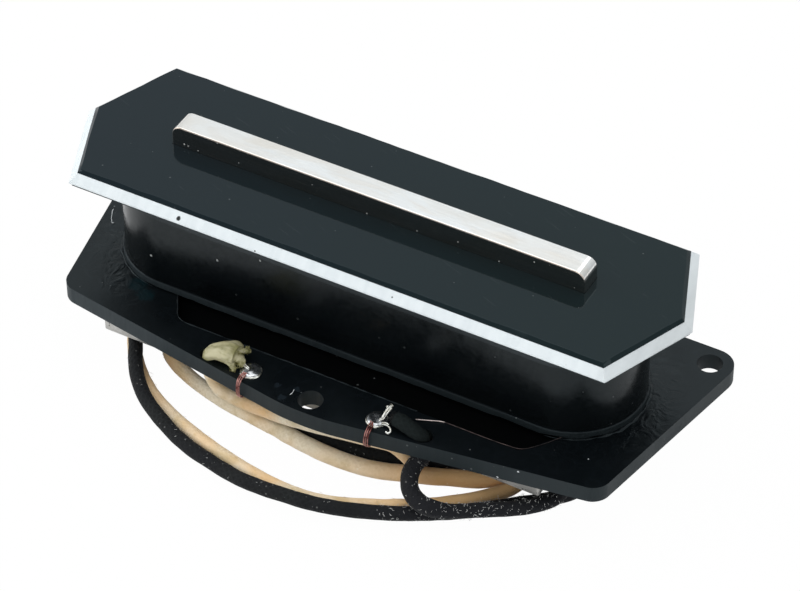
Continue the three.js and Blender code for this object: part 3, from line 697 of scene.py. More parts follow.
def make_tape_material():
    """Glossy tape, pulled tight, with a painted highlight high on its left end."""
    shader, here = new_material("coil_tape", 0.2, specular=0.26, gloss=COOL_GLOSS)
    pull = noise_at(stretched(here, (1, 1, 0.35)), 95.0, distortion=0.5)
    film = noise_at(here, 1500.0, detail=2)
    x, height = split(here)[::2]
    color = layered(
        (0.0018, 0.0026, 0.0032),
        (remap(pull, 0.4, 0.7), (0.0034, 0.0045, 0.005)),
        # Painted highlight: paler high up on the left end, where the round end turns to the light.
        (remap(height, 11.5 * MM, 11.8 * MM) * remap(x, -30 * MM, -24 * MM) * 0.7, (0.028, 0.033, 0.036)),
        (dust(here, 2200.0, 0.02) * 0.3, (0.14, 0.15, 0.15)),
        (spots(here, ((-28.6, -9.5, 5.0), 0.22, 0.2), ((-18.5, -9.5, 8.6), 0.2, 0.15),
               ((-12.1, -9.5, 11.3), 0.18, 0.15)), (0.3, 0.31, 0.3)),
    )
    dress(shader, color, remap(film, 0.3, 0.7, 0.16, 0.27), pull + film * 0.03, 0.35 * MM, 0.7)


def make_magnet_material():
    """Cast magnet metal, ground along X, with small pits."""
    shader, here = new_material("magnet_metal", 0.42, metallic=0.75)
    ground = noise_at(stretched(here, (0.06, 1, 1)), 3600.0, detail=4)
    cast = noise_at(here, 420.0, detail=4)
    pits = dust(here, 2200.0, 0.12, 0.42)
    color = layered(
        (0.42, 0.41, 0.39),
        (remap(ground, 0.3, 0.72), (0.64, 0.63, 0.605)),
        (remap(cast, 0.45, 0.7, 0, 0.4), (0.34, 0.325, 0.3)),
        (pits * 0.7, (0.06, 0.055, 0.05)),
    )
    dress(shader, color, remap(cast, 0.3, 0.7, 0.34, 0.55), ground * 0.35 - pits, 0.03 * MM, 0.8)


def make_metal_material(name, bright, dull, scale, low, high):
    """Small metal pieces: mottled between a bright and a dull colour, with grime in the hollows."""
    shader, here = new_material(name, low, metallic=1)
    mottled = noise_at(here, scale, detail=4, distortion=0.7)
    grime = dust(here, scale * 2.5, 0.2, 0.45)
    color = layered(bright, (remap(mottled, 0.4, 0.65), dull), (grime * 0.45, tuple(v * 0.25 for v in dull)))
    dress(shader, color, remap(mottled, 0.35, 0.7, low, high), mottled, 0.05 * MM, 0.6)


def make_enamel_material(name, pale, deep, roughness, bare_until=None):
    """Enamelled wire: the coat's colour drifts and the metal shines through. It can be bare up to an X."""
    shader, here = new_material(name, roughness, specular=0.6, metallic=0.55)
    drift = noise_at(here, 900.0)
    color = layered(deep, (remap(drift, 0.35, 0.68), pale))
    if bare_until:
        coated = remap(split(here)[0], bare_until, bare_until + 0.3 * MM)
        color = layered((0.8, 0.68, 0.65), (coated, color))
    rough = remap(drift, 0.3, 0.7, roughness, roughness + 0.2)
    dress(shader, color, rough, noise_at(here, 5000.0, detail=1), 0.01 * MM, 0.4)


def make_cloth_material(name, deep, body, pale, stain, waxed, sheen=0.1, specular=0.25):
    """Braided cloth round a wire: lit strands with painted shade in the gaps between them, wax that fills
    them, and a stain.
    """
    shader, here = new_material(name, 0.8, specular=specular)
    run = Value(add_node(here.tree, "UVMap", uv_map="along")[0])
    fuzz = noise_at(here, 4200.0)
    wax = remap(noise_at(here, 420.0), 0.42, 0.62, waxed * 0.75, waxed)
    strands = remap(use("braid", run, Around=7.0, Along=6.0), 0.62, 0.98) * (1.0 - wax)
    lit = calc("ADD", strands * 0.6 + fuzz * 0.5, wax * 0.45, clamp=True)
    broad = remap(noise_at(here, 110.0, detail=2), 0.4, 0.65, 0, 0.75)
    color = layered(
        deep,
        # The strands are lit and the gaps keep the deep colour as painted shade.
        (lit, body),
        (remap(noise_at(here, 260.0, detail=4, distortion=1.0), 0.5, 0.68, 0, 0.6), deep),
        (most(broad, remap(split(here)[0], 2 * MM, 17 * MM, 0, 0.9)), stain),
        (dust(here, 3300.0, 0.06, 0.5) * 0.4, pale),
    )
    dress(shader, color, remap(wax, 0, 1, 0.88, 0.6), strands + fuzz * 0.9, 0.09 * MM, 0.6,
          Sheen_Weight=sheen, Sheen_Tint=(*pale, 1))


def make_waxed_material():
    """The stiff end of the cream sleeve: smooth, with painted shade in its folds and low down, and dark olive
    where it is torn open.
    """
    shader, here = new_material("waxed_sleeve", 0.5, specular=0.4)
    x, z = split(here)[::2]
    soaked = noise_at(here, 520.0, distortion=0.8)
    weave = noise_at(here, 3600.0, detail=2)
    folds = noise_at(stretched(here, (0.3, 1, 1)), 1000.0, distortion=0.5)
    torn = remap(x, -12.3 * MM, -10.9 * MM) * remap(soaked, 0.35, 0.6)
    color = layered(
        (0.5, 0.46, 0.29),
        (remap(soaked, 0.42, 0.72, 0, 0.6), (0.35, 0.31, 0.14)),
        # Painted shade in the folds.
        (remap(folds, 0.5, 0.68, 0, 0.75), (0.2, 0.19, 0.07)),
        # Darker low down as painted shade, and darker olive where it is torn open.
        (most(remap(z, 1.1 * MM, 0.1 * MM, 0, 0.7), torn), (0.2, 0.19, 0.06)),
    )
    dress(shader, color, remap(soaked, 0.3, 0.7, 0.42, 0.62), weave * 0.15 - folds * 1.4, 0.14 * MM, 0.8)


def make_thread_material(name, deep, pale):
    shader, here = new_material(name, THREAD_ROUGHNESS, specular=0.2)
    color = layered(deep, (remap(noise_at(here, 1500.0), 0.35, 0.65), pale))
    dress(shader, color, THREAD_ROUGHNESS, noise_at(here, 9000.0, detail=1), 0.01 * MM, 0.5)


def make_materials():
    for make_group in (make_dust_group, make_scratch_group, make_spot_group, make_braid_group):
        make_group()
    make_fibre_material()
    make_black_ply_material()
    make_white_ply_material()
    make_steel_material()
    make_tape_material()
    make_magnet_material()
    make_waxed_material()
    make_metal_material("tinned_metal", (0.74, 0.74, 0.7), (0.42, 0.4, 0.34), 1400.0, 0.18, 0.4)
    make_metal_material("solder", (0.62, 0.63, 0.65), (0.3, 0.31, 0.32), 900.0, 0.16, 0.36)
    make_enamel_material("red_enamel", (0.62, 0.31, 0.27), (0.15, 0.03, 0.024), 0.22)
    make_enamel_material("copper_wire", (0.12, 0.085, 0.08), (0.02, 0.014, 0.014), 0.3, COIL_WIRE_BARE_X)
    make_cloth_material("black_cloth", (0.0025, 0.003, 0.003), (0.012, 0.0135, 0.014), (0.22, 0.22, 0.21),
                        (0.005, 0.0055, 0.008), 0.25)
    # A lighter copy of the black cloth for the stub on top of the plate: painted light.
    make_cloth_material("lit_stub_cloth", (0.003, 0.004, 0.004), (0.016, 0.021, 0.021), (0.1, 0.1, 0.1),
                        (0.009, 0.012, 0.012), 0.25, sheen=0.03, specular=0.08)
    make_cloth_material("cream_cloth", (0.5, 0.38, 0.17), (0.95, 0.86, 0.71), (0.95, 0.89, 0.78),
                        (0.84, 0.51, 0.22), 1.0, sheen=0.3)
    for name, deep, pale in THREAD_COLORS:
        make_thread_material(name, deep, pale)


# Modelling helpers

def leave_edit():
    if bpy.context.object and bpy.context.object.mode != "OBJECT":
        bpy.ops.object.mode_set(mode="OBJECT")


def clear_selection():
    leave_edit()
    bpy.ops.object.select_all(action="DESELECT")


def set_active(piece):
    clear_selection()
    piece.select_set(True)
    bpy.context.view_layer.objects.active = piece


def edit_all():
    """Goes into edit mode with everything selected."""
    bpy.ops.object.mode_set(mode="EDIT")
    bpy.ops.mesh.select_all(action="SELECT")


def pick(kind, test):
    """Goes into edit mode and selects the vertices or edges whose middle passes the test."""
    bpy.ops.object.mode_set(mode="EDIT")
    bpy.ops.mesh.select_mode(type=kind)
    bpy.ops.mesh.select_all(action="DESELECT")
    data = bpy.context.object.data
    mesh = bmesh.from_edit_mesh(data)
    for item in mesh.verts if kind == "VERT" else mesh.edges:
        points = [item.co] if kind == "VERT" else [v.co for v in item.verts]
        if test(sum(points, Vector()) / len(points)):
            item.select_set(True)
    mesh.select_flush_mode()
    bmesh.update_edit_mesh(data)


def near(value, target, slack=1e-6):
    return abs(value - target) < slack


def modify(kind, **settings):
    leave_edit()
    piece = bpy.context.object
    modifier = piece.modifiers.new(kind.lower(), kind)
    for key, value in settings.items():
        setattr(modifier, key, value)
    bpy.ops.object.modifier_apply(modifier=modifier.name)


def ease_edges(width, segments=2, angle=HARD_ANGLE):
    modify("BEVEL", width=width, segments=segments, limit_method="ANGLE", angle_limit=math.radians(angle),
           harden_normals=False)


def cut_away(piece, cutter):
    set_active(piece)
    modify("BOOLEAN", operation="DIFFERENCE", solver="EXACT", object=cutter)
    bpy.data.objects.remove(cutter, do_unlink=True)


def outward(piece):
    """Turns the piece's faces outward."""
    set_active(piece)
    edit_all()
    bpy.ops.mesh.normals_make_consistent(inside=False)
    leave_edit()


def cut_slot(piece, middle, height):
    """Cuts the blade's slot through the piece."""
    size = (BLADE_LENGTH + 2 * SLOT_GAP, BLADE_THICKNESS + 2 * SLOT_GAP, height)
    cut_away(piece, make_block(size, (0, 0, middle)))
    outward(piece)


def flat_outline(corners, height):
    """A flat face through the corners, anticlockwise, made from a circle with one vertex for each."""
    clear_selection()
    bpy.ops.mesh.primitive_circle_add(vertices=len(corners), radius=1, fill_type="NGON")
    outline = bpy.context.object

    def turn(x, y):
        return math.atan2(y, x) % (2 * math.pi)

    ring = sorted(outline.data.vertices, key=lambda v: turn(v.co.x, v.co.y))
    start = min(range(len(corners)), key=lambda i: turn(*corners[i]))
    for k, vertex in enumerate(ring):
        x, y = corners[(start + k) % len(corners)]
        vertex.co = (x, y, height)
    return outline


def round_corners(corners, k, radius, test, segments=10):
    """Rounds the corners that pass the test. All have the angle of the corner at the index."""
    corner, before, after = (Vector(corners[j % len(corners)]) for j in (k, k - 1, k + 1))
    half = math.acos((before - corner).normalized().dot((after - corner).normalized())) / 2
    pick("VERT", test)
    bpy.ops.mesh.bevel(offset=radius / math.tan(half), offset_type="OFFSET", segments=segments,
                       affect="VERTICES", profile=0.5)


def extrude_face_up(rise):
    bpy.ops.object.mode_set(mode="EDIT")
    bpy.ops.mesh.select_mode(type="FACE")
    bpy.ops.mesh.select_all(action="SELECT")
    bpy.ops.mesh.extrude_region_move(TRANSFORM_OT_translate={"value": (0, 0, rise)})


def make_post(radius, x, y, low, high, vertices=40):
    clear_selection()
    bpy.ops.mesh.primitive_cylinder_add(vertices=vertices, radius=radius, depth=high - low,
                                        location=(x, y, (low + high) / 2))
    return bpy.context.object


def make_block(size, centre):
    clear_selection()
    bpy.ops.mesh.primitive_cube_add(size=1, location=centre)
    block = bpy.context.object
    block.scale = size
    bpy.ops.object.transform_apply(location=False, rotation=False, scale=True)
    return block


def reshape(piece, shortest, cuts, suits, move):
    """Cuts the edges that are long and suit into short ones, then moves each vertex."""
    mesh = bmesh.new()
    mesh.from_mesh(piece.data)
    for length, count in zip(shortest, cuts):
        edges = [e for e in mesh.edges if e.calc_length() > length and suits(e)]
        bmesh.ops.subdivide_edges(mesh, edges=edges, cuts=count, use_grid_fill=True)
    for vertex in mesh.verts:
        move(vertex.co)
    mesh.to_mesh(piece.data)
    mesh.free()


def new_piece(name, vertices, faces):
    mesh = bpy.data.meshes.new(name)
    mesh.from_pydata(vertices, [], faces)
    piece = bpy.data.objects.new(name, mesh)
    bpy.context.scene.collection.objects.link(piece)
    return piece


def finish_piece(piece, name, slot, nodes, smooth=SOFT_ANGLE, look=None):
    """Smooths and names a piece, gives it a material, puts it under the root body and hides the model's parts
    that it stands for.

    The material is the one named like its slot, or like its look where that is another.
    """
    set_active(piece)
    bpy.ops.object.transform_apply(location=True, rotation=True, scale=True)
    bpy.ops.object.shade_smooth_by_angle(angle=math.radians(smooth))
    if smooth == HARD_ANGLE:
        modify("WEIGHTED_NORMAL", weight=50, keep_sharp=True)
    piece.name = name
    piece.data.name = name
    piece.data.materials.clear()
    piece.data.materials.append(materials[look or slot])
    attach(piece, "root")
    if nodes:
        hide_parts(*nodes)


# Tubes along smooth paths

def walked_along(path):
    """How far along the path each of its points is."""
    reach = [0.0]
    for a, b in zip(path, path[1:]):
        reach.append(reach[-1] + (b - a).length)
    return reach


def path_length(path):
    return walked_along(path)[-1]


def smooth_path(points, gap):
    """A centripetal curve through the points, walked in even steps of about the gap."""
    padded = [2 * points[0] - points[1], *points, 2 * points[-1] - points[-2]]
    fine = []
    for k in range(1, len(padded) - 2):
        p0, p1, p2, p3 = padded[k - 1:k + 3]
        d0, d1, d2 = ((b - a).length ** 0.5 for a, b in ((p0, p1), (p1, p2), (p2, p3)))
        t1 = ((p1 - p0) / d0 - (p2 - p0) / (d0 + d1) + (p2 - p1) / d1) * d1
        t2 = ((p2 - p1) / d1 - (p3 - p1) / (d1 + d2) + (p3 - p2) / d2) * d1
        steps = max(4, int((p2 - p1).length / gap * 4))
        for j in range(steps):
            t = j / steps
            bend = (2 * p1 - 2 * p2 + t1 + t2) * t ** 3 + (3 * p2 - 3 * p1 - 2 * t1 - t2) * t ** 2
            fine.append(bend + t1 * t + p1)
    fine.append(points[-1])
    reach = walked_along(fine)
    count = max(2, round(reach[-1] / gap))
    path, k = [], 0
    for j in range(count + 1):
        want = reach[-1] * j / count
        while k < len(reach) - 2 and reach[k + 1] < want:
            k += 1
        share = (want - reach[k]) / (reach[k + 1] - reach[k])
        path.append(fine[k].lerp(fine[k + 1], min(1, share)))
    return path


def path_through(points, gap):
    """A smooth path from points and a gap in millimetres."""
    return smooth_path([Vector(p) * MM for p in points], gap * MM)


def tube_faces(start, rings, sides):
    """The faces of a closed tube whose rings of vertices begin at an index."""
    faces = []
    for k in range(rings - 1):
        for j in range(sides):
            a, b = start + k * sides + j, start + k * sides + (j + 1) % sides
            faces.append((a, b, b + sides, a + sides))
    last = start + (rings - 1) * sides
    faces.append(tuple(start + j for j in reversed(range(sides))))
    faces.append(tuple(last + j for j in range(sides)))
    return faces


def sweep(name, path, radius_at, sides, squash=(1, 1, 1)):
    """A closed tube along the path. Its map runs round the tube in U and along it in V, both in diameters."""
    last = len(path) - 1
    reach = walked_along(path)
    vertices = []
    for k, centre in enumerate(path):
        tangent = (path[min(last, k + 1)] - path[max(0, k - 1)]).normalized()
        if not k:
            side = tangent.orthogonal().normalized()
        side = (side - tangent * side.dot(tangent)).normalized()
        other = tangent.cross(side)
        for j in range(sides):
            angle = 2 * math.pi * j / sides
            out = (side * math.cos(angle) + other * math.sin(angle)) * radius_at(reach[k], angle)
            vertices.append(centre + Vector(a * b for a, b in zip(out, squash)))
    piece = new_piece(name, vertices, tube_faces(0, len(path), sides))
    layer = piece.data.uv_layers.new(name="along")
    width = 2 * radius_at(reach[-1] / 2, 0)
    corner = 0
    for k in range(last):
        for j in range(sides):
            for u, v in ((j, k), (j + 1, k), (j + 1, k + 1), (j, k + 1)):
                layer.data[corner].uv = (math.pi * u / sides, reach[v] / width)
                corner += 1
    return piece


def lumps(walked, angle, along, around):
    """Noise on a tube, from the distance walked along it and the angle round it."""
    return noise.noise(Vector((walked / MM * along, math.cos(angle) * around, math.sin(angle) * around)))


def threads(name, paths, radius, sides=3):
    """Many fine fibres in one mesh, each thinner at its ends."""
    vertices, faces = [], []
    for path in paths:
        last = len(path) - 1
        faces += tube_faces(len(vertices), len(path), sides)
        for k, centre in enumerate(path):
            tangent = (path[min(k + 1, last)] - path[max(k - 1, 0)]).normalized()
            side = tangent.orthogonal().normalized()
            other = tangent.cross(side)
            width = radius * (0.5 if k in (0, last) else 1)
            for j in range(sides):
                angle = 2 * math.pi * j / sides
                vertices.append(centre + width * (side * math.cos(angle) + other * math.sin(angle)))
    return new_piece(name, vertices, faces)


# Base plate

def make_base_plate():
    corners = [
        (PLATE_BACK_X, PLATE_BACK_Y), (-PLATE_BACK_X, PLATE_BACK_Y), (-PLATE_FRONT_X, PLATE_FRONT_Y),
        (0, PLATE_NOSE_Y), (PLATE_FRONT_X, PLATE_FRONT_Y),
    ]
    plate = flat_outline(corners, -PLATE_THICKNESS)
    round_corners(corners, 0, EAR_RADIUS, lambda p: p.y > 0)
    round_corners(corners, 4, PLATE_FRONT_RADIUS, lambda p: near(p.y, PLATE_FRONT_Y))
    round_corners(corners, 3, PLATE_NOSE_RADIUS, lambda p: near(p.y, PLATE_NOSE_Y), segments=14)
    extrude_face_up(PLATE_THICKNESS)
    leave_edit()
    low, high = -2 * PLATE_THICKNESS, PLATE_THICKNESS
    cutters = [make_post(SCREW_HOLE_RADIUS, side * EAR_HOLE[0], EAR_HOLE[1], low, high) for side in (-1, 1)]
    cutters.append(make_post(SCREW_HOLE_RADIUS, 0, NOSE_HOLE_Y, low, high))
    for side in (-1, 1):
        cutters.append(make_post(LEAD_HOLE_RADIUS, side * LEAD_HOLE[0], LEAD_HOLE[1], low, high, 32))
        cutters.append(make_post(EYELET_HOLE_RADIUS, side * EYELET[0], EYELET[1], low, high, 32))
    cutters.append(make_block((BLADE_LENGTH + 2 * LINK_GAP, BLADE_THICKNESS + 2 * LINK_GAP, high - low),
                              (0, 0, (low + high) / 2)))
    cutters.append(make_pocket_cutter())
    for cutter in cutters:
        cut_away(plate, cutter)
    outward(plate)
    ease_edges(PLATE_EDGE_EASE)
    finish_piece(plate, "plate", "black_fibre", ["base_plate"], HARD_ANGLE)


def make_pocket_cutter():
    middle_y = (POCKET_FRONT_Y + POCKET_BACK_Y) / 2
    back, front = POCKET_BACK_Y - middle_y, POCKET_FRONT_Y - middle_y
    corners = [
        (POCKET_RIGHT_X + POCKET_RIGHT_FLARE, back), (POCKET_LEFT_X - POCKET_LEFT_FLARE, back),
        (POCKET_LEFT_X, front), (POCKET_RIGHT_X, front),
    ]
    cutter = flat_outline(corners, -POCKET_DEPTH)
    round_corners(corners, 2, POCKET_RADIUS, lambda p: p.y < 0 and p.x < 0)
    round_corners(corners, 3, POCKET_RADIUS, lambda p: p.y < 0 and near(p.x, POCKET_RIGHT_X))
    extrude_face_up(2 * POCKET_DEPTH)
    leave_edit()
    cutter.location.y = middle_y
    return cutter


def make_plate_marks():
    """The burr that the cutter left along the pocket, and slivers torn out of the plate's top."""
    slant = Vector((-POCKET_LEFT_FLARE, POCKET_BACK_Y - POCKET_FRONT_Y, 0)).normalized()
    corner = Vector((POCKET_LEFT_X, POCKET_FRONT_Y, BURR_HEIGHT))
    points = [corner + slant * far * MM for far in BURR_UP_SLANT_MM]
    points += [corner + Vector((x, y, 0)) * MM for x, y in BURR_ALONG_MM]
    burr = sweep("pocket_burr", smooth_path(points, 0.2 * MM), lambda s, a: BURR_RADIUS * (
        0.9 + 1.1 * noise.noise(Vector((s / MM * 0.8, 9, math.sin(a) * 0.5)))), 8)
    finish_piece(burr, "pocket_burr", "black_fibre", [])
    slivers = threads("slivers", [path_through(points, 0.12) for points in TORN_SLIVERS_MM], SLIVER_RADIUS, 5)
    finish_piece(slivers, "torn_slivers", "black_fibre", [], look="pale_fibre")


# Cover

def cover_face(grow, height):
    slant = math.hypot(COVER_HALF_WIDTH, COVER_POINT)
    corner_x = COVER_FLAT_HALF_LENGTH + grow * (slant - COVER_POINT) / COVER_HALF_WIDTH
    tip_x = COVER_FLAT_HALF_LENGTH + COVER_POINT + grow * slant / COVER_HALF_WIDTH
    y = COVER_HALF_WIDTH + grow
    corners = [(tip_x, 0), (corner_x, y), (-corner_x, y), (-tip_x, 0), (-corner_x, -y), (corner_x, -y)]
    return flat_outline(corners, height)


def wander_edge(piece, high, low, size):
    """Lets the bevel's inner edge wander, as filing by hand leaves it."""
    def suits(edge):
        return all(near(v.co.z, high) or near(v.co.z, low) for v in edge.verts)

    def move(place):
        if near(place.z, high):
            out = Vector((0.35 * place.x / COVER_FLAT_HALF_LENGTH, place.y / COVER_HALF_WIDTH, 0))
            place += out.normalized() * size * noise.noise(place / MM * 0.32)

    leave_edit()
    reshape(piece, (30 * MM, 4 * MM), (48, 8), suits, move)


def make_cover():
    base = cover_face(CORE_BEVEL - BASE_PLY_SHY, BASE_PLY_BOTTOM)
    extrude_face_up(CORE_PLY_BOTTOM - BASE_PLY_BOTTOM)
    core = cover_face(CORE_BEVEL, CORE_PLY_BOTTOM)
    extrude_face_up(CORE_LAND)
    bpy.ops.mesh.inset(thickness=CORE_BEVEL, depth=CORE_BEVEL, use_even_offset=True)
    top = cover_face(0, TOP_PLY_BOTTOM)
    extrude_face_up(COVER_EDGE_EASE)
    bpy.ops.mesh.inset(thickness=TOP_BEVEL, depth=TOP_BEVEL - COVER_EDGE_EASE, use_even_offset=True)
    wander_edge(top, TOP_PLY_BOTTOM + TOP_BEVEL, TOP_PLY_BOTTOM + COVER_EDGE_EASE, BEVEL_WANDER)
    for ply, name, shade in ((base, "base", "black"), (core, "core", "white"), (top, "top", "black")):
        cut_slot(ply, TOP_PLY_BOTTOM, TOP_PLY_BOTTOM)
        ease_edges(COVER_EDGE_EASE)
        finish_piece(ply, f"cover_{name}", f"{shade}_ply", [f"cover_{name}_ply"], HARD_ANGLE)


# Blade

def make_blade():
    blade = make_block((BLADE_LENGTH, BLADE_THICKNESS, BLADE_TOP - BLADE_FOOT),
                       (0, 0, (BLADE_TOP + BLADE_FOOT) / 2))
    bpy.ops.object.transform_apply(location=True, rotation=False, scale=False)
    pick("EDGE", lambda p: near(abs(p.x), BLADE_LENGTH / 2) and near(p.z, BLADE_TOP))
    bpy.ops.mesh.bevel(offset=BLADE_CORNER_RADIUS, segments=10, affect="EDGES", profile=0.5)
    ease_edges(BLADE_EDGE_EASE, segments=3, angle=40)
    finish_piece(blade, "steel_blade", "blade_steel", ["blade"], HARD_ANGLE)


# Coil, bobbin and magnets

def racetrack(length, width, low, high, vertices=96):
    """A solid with round ends: a cylinder pulled apart along X."""
    piece = make_post(width / 2, 0, 0, low, high, vertices)
    bpy.ops.object.transform_apply(location=True, rotation=False, scale=False)
    edit_all()
    bpy.ops.transform.rotate(value=math.pi / vertices, orient_axis="Z", center_override=(0, 0, 0))
    stretch = (length - width) / 2
    for side in (-1, 1):
        pick("VERT", lambda p: p.x * side > 0)
        bpy.ops.transform.translate(value=(side * stretch, 0, 0))
    leave_edit()
    return piece


def roughen_rim(flange, low):
    """Lets the flange's lower rim wander up a little."""
    def move(place):
        if near(place.z, low):
            place.z += RIM_WANDER * abs(noise.noise(place / MM * 0.35 + Vector((3, 5, low / MM))))

    reshape(flange, (20 * MM,), (50,), lambda edge: True, move)


def make_coil():
    for name, low, high in (("lower_flange", 0, COIL_BOTTOM), ("upper_flange", COIL_TOP, BASE_PLY_BOTTOM)):
        flange = racetrack(FLANGE_LENGTH, FLANGE_WIDTH, low, high)
        roughen_rim(flange, low)
        ease_edges(FLANGE_EASE, segments=3, angle=40)
        cut_slot(flange, COIL_TOP, 2 * COIL_TOP)
        finish_piece(flange, name, "black_fibre", [f"bobbin_{name}"], HARD_ANGLE)
    for name, side in (("left", -1), ("right", 1)):
        path = []
        for a in map(math.radians, range(-84, 85)):
            x, y = FLANGE_WIDTH / 2 * math.cos(a), FLANGE_WIDTH / 2 * math.sin(a)
            path.append(Vector((side * (COIL_STRAIGHT + x), y, GLUE_HEIGHT)))
        length = path_length(path)

        def thickness(walked, angle):
            lump = noise.noise(Vector((walked / MM * 0.7, side * 4, math.sin(angle) * 0.6)))
            return GLUE_RADIUS * (1.3 + 1.5 * lump) * (0.1 + 0.9 * math.sin(math.pi * walked / length))

        bead = sweep("glue", path, thickness, 14, squash=(1.6, 1.6, 1))
        finish_piece(bead, f"glue_bead_{name}", "black_fibre", [])
    tape = racetrack(TAPE_LENGTH, TAPE_WIDTH, COIL_BOTTOM, COIL_TOP)
    finish_piece(tape, "tape_wrap", "coil_tape", ["coil_tape", "coil_winding", "bobbin_core"], HARD_ANGLE)


def make_magnets():
    for node in ("magnet_front", "magnet_rear"):
        low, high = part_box(node)
        size = [high[k] - low[k] for k in range(3)]
        centre = [(high[k] + low[k]) / 2 for k in range(3)]
        magnet = make_block(size, centre)
        ease_edges(MAGNET_EASE, segments=3)
        finish_piece(magnet, node.replace("magnet", "bar_magnet"), "magnet_metal", [node], HARD_ANGLE)


# Eyelets, solder and fine wires

def make_eyelet(label, side):
    """A thin tube through the plate with a rolled rim on top and a flared lip underneath."""
    low, wall, rim = -PLATE_THICKNESS, EYELET_WALL, EYELET_RIM_RADIUS
    outer, inner = EYELET_BARREL_RADIUS, EYELET_BARREL_RADIUS - EYELET_WALL
    profile = [
        (inner, low - wall), (rim - wall, low - wall), (rim, low), (outer, low), (outer, 0), (rim, 0),
        (rim + 0.4 * wall, 0.6 * wall), (rim, 1.3 * wall), (rim - wall, 1.3 * wall),
        (rim - 1.6 * wall, 0.6 * wall), (inner, 0.4 * wall),
    ]
    steps, count = 36, len(profile)
    middle = Vector((side * EYELET[0], EYELET[1], 0))
    vertices, faces = [], []
    for k in range(steps):
        angle = 2 * math.pi * k / steps
        for j, (radius, height) in enumerate(profile):
            place = middle + Vector((radius * math.cos(angle), radius * math.sin(angle), height))
            vertices.append(place + EYELET_DENTS * noise.noise_vector(place / MM * 1.3))
            here, ahead, beside = k * count, (k + 1) % steps * count, (j + 1) % count
            faces.append((here + j, here + beside, ahead + beside, ahead + j))
    eyelet = new_piece("eyelet", vertices, faces)
    outward(eyelet)
    finish_piece(eyelet, f"rim_{label}", "tinned_metal", [f"eyelet_{label}"])


def make_solder(label, side):
    """A puddle of solder in the eyelet: the upper part of a ball, flattened, pulled about and dented."""
    place = Vector((side * EYELET[0], EYELET[1], SOLDER_BASE))
    clear_selection()
    bpy.ops.mesh.primitive_uv_sphere_add(segments=40, ring_count=24, radius=SOLDER_RADIUS)
    dome = bpy.context.object
    edit_all()
    bpy.ops.mesh.bisect(plane_co=(0, 0, 0), plane_no=(0, 0, 1), clear_inner=True, use_fill=True)
    leave_edit()
    for vertex in dome.data.vertices:
        height = vertex.co.z / SOLDER_RADIUS
        lump = noise.noise(vertex.co / MM * 1.1 + Vector((side * 7, 3, 1)))
        vertex.co.z = SOLDER_HEIGHT * height ** 0.55 * (1 + 0.25 * lump)
        vertex.co += place
    finish_piece(dome, f"solder_pool_{label}", "solder", [f"solder_{label}"], WRINKLED_ANGLE)


def joined(pieces):
    clear_selection()
    for piece in pieces:
        piece.select_set(True)
    bpy.context.view_layer.objects.active = pieces[0]
    bpy.ops.object.join()
    return pieces[0]


def fine_wire(points_mm, radius, sides=8, tip=1.0):
    """A thin wire along points given in millimetres. Its far end narrows to a share of its radius."""
    path = path_through(points_mm, 0.12)
    length = path_length(path)
    return sweep("wire", path, lambda s, a: radius * (1 + (tip - 1) * s / length), sides)


def make_wires():
    """Coil leads over the plate's front edge, tinned strands at the solder, and the fine coil wire."""
    for kind, side, slot, node, bundle in (
        ("enamel", "left", "red_enamel", "coil_lead", LEFT_COIL_STRANDS_MM),
        ("enamel", "right", "red_enamel", "coil_lead", RIGHT_COIL_STRANDS_MM),
        ("tinned", "left", "tinned_metal", "conductor", LEFT_TINNED_STRANDS_MM),
        ("tinned", "right", "tinned_metal", "conductor", RIGHT_TINNED_STRANDS_MM),
    ):
        strands = joined([fine_wire(points, radius * MM, tip=tip) for points, radius, tip in bundle])
        finish_piece(strands, f"{kind}_strands_{side}", slot, [f"{node}_{side}"])
    wire = fine_wire(COIL_WIRE_MM, COIL_WIRE_RADIUS, sides=6, tip=0.4)
    finish_piece(wire, "fine_coil_wire", "copper", ["coil_wire"], look="copper_wire")


# Loose fibres

def any_direction(draw):
    while True:
        way = Vector([draw.uniform(-1, 1) for _ in range(3)])
        if 0.1 < way.length < 1:
            return way.normalized()


def fray(draw, centre, heading, spread, count, length):
    """Loose fibres round a torn end, as their paths. They follow its heading, curl and rest on the plate."""
    paths = []
    for _ in range(count):
        point = centre + any_direction(draw) * spread * draw.random() ** 0.5
        way = (heading + any_direction(draw) * 0.8).normalized()
        step = length * draw.uniform(0.4, 1) / 4
        path = [point]
        for _ in range(4):
            way = (way + any_direction(draw) * 0.45).normalized()
            point = point + way * step
            path.append(Vector((point.x, point.y, max(point.z, FIBRE_REST))))
        paths.append(path)
    return paths


def fuzz_on(draw, path, radius, count, length, lift, window):
    """Fibres on a lead, as their paths: each starts on it, wanders along and stands off by about the lift."""
    paths = []
    while len(paths) < count:
        k = draw.randrange(2, len(path) - 2)
        if not window(path[k]):
            continue
        along = (path[k + 1] - path[k - 1]).normalized()
        out = any_direction(draw)
        out = (out - along * out.dot(along)).normalized()
        if out.z < -0.5:
            continue
        point = path[k] + out * radius * 1.03
        way = out.cross(along) * draw.uniform(-1, 1) + along * draw.uniform(-1, 1) + out * lift
        way.normalize()
        step = length * draw.uniform(0.3, 1) / 3
        fibre = [point - out * 0.05 * MM]
        for _ in range(3):
            way = (way + any_direction(draw) * 0.5 - out * 0.12).normalized()
            point = point + way * step
            fibre.append(Vector((point.x, point.y, max(point.z, FLOOR_HEIGHT + FIBRE_REST))))
        paths.append(fibre)
    return paths


# The leads' starts on the plate: a cream sleeve torn open at its end, and a black stub with a frayed one

def flare(stops):
    """A radius that eases between stops, each a distance along the path and a radius, in millimetres."""
    def radius(walked):
        walked /= MM
        for (s0, r0), (s1, r1) in zip(stops, stops[1:]):
            if walked <= s1:
                share = max(0, (walked - s0) / (s1 - s0))
                share = share * share * (3 - 2 * share)
                return (r0 + (r1 - r0) * share) * MM
        return stops[-1][1] * MM
    return radius


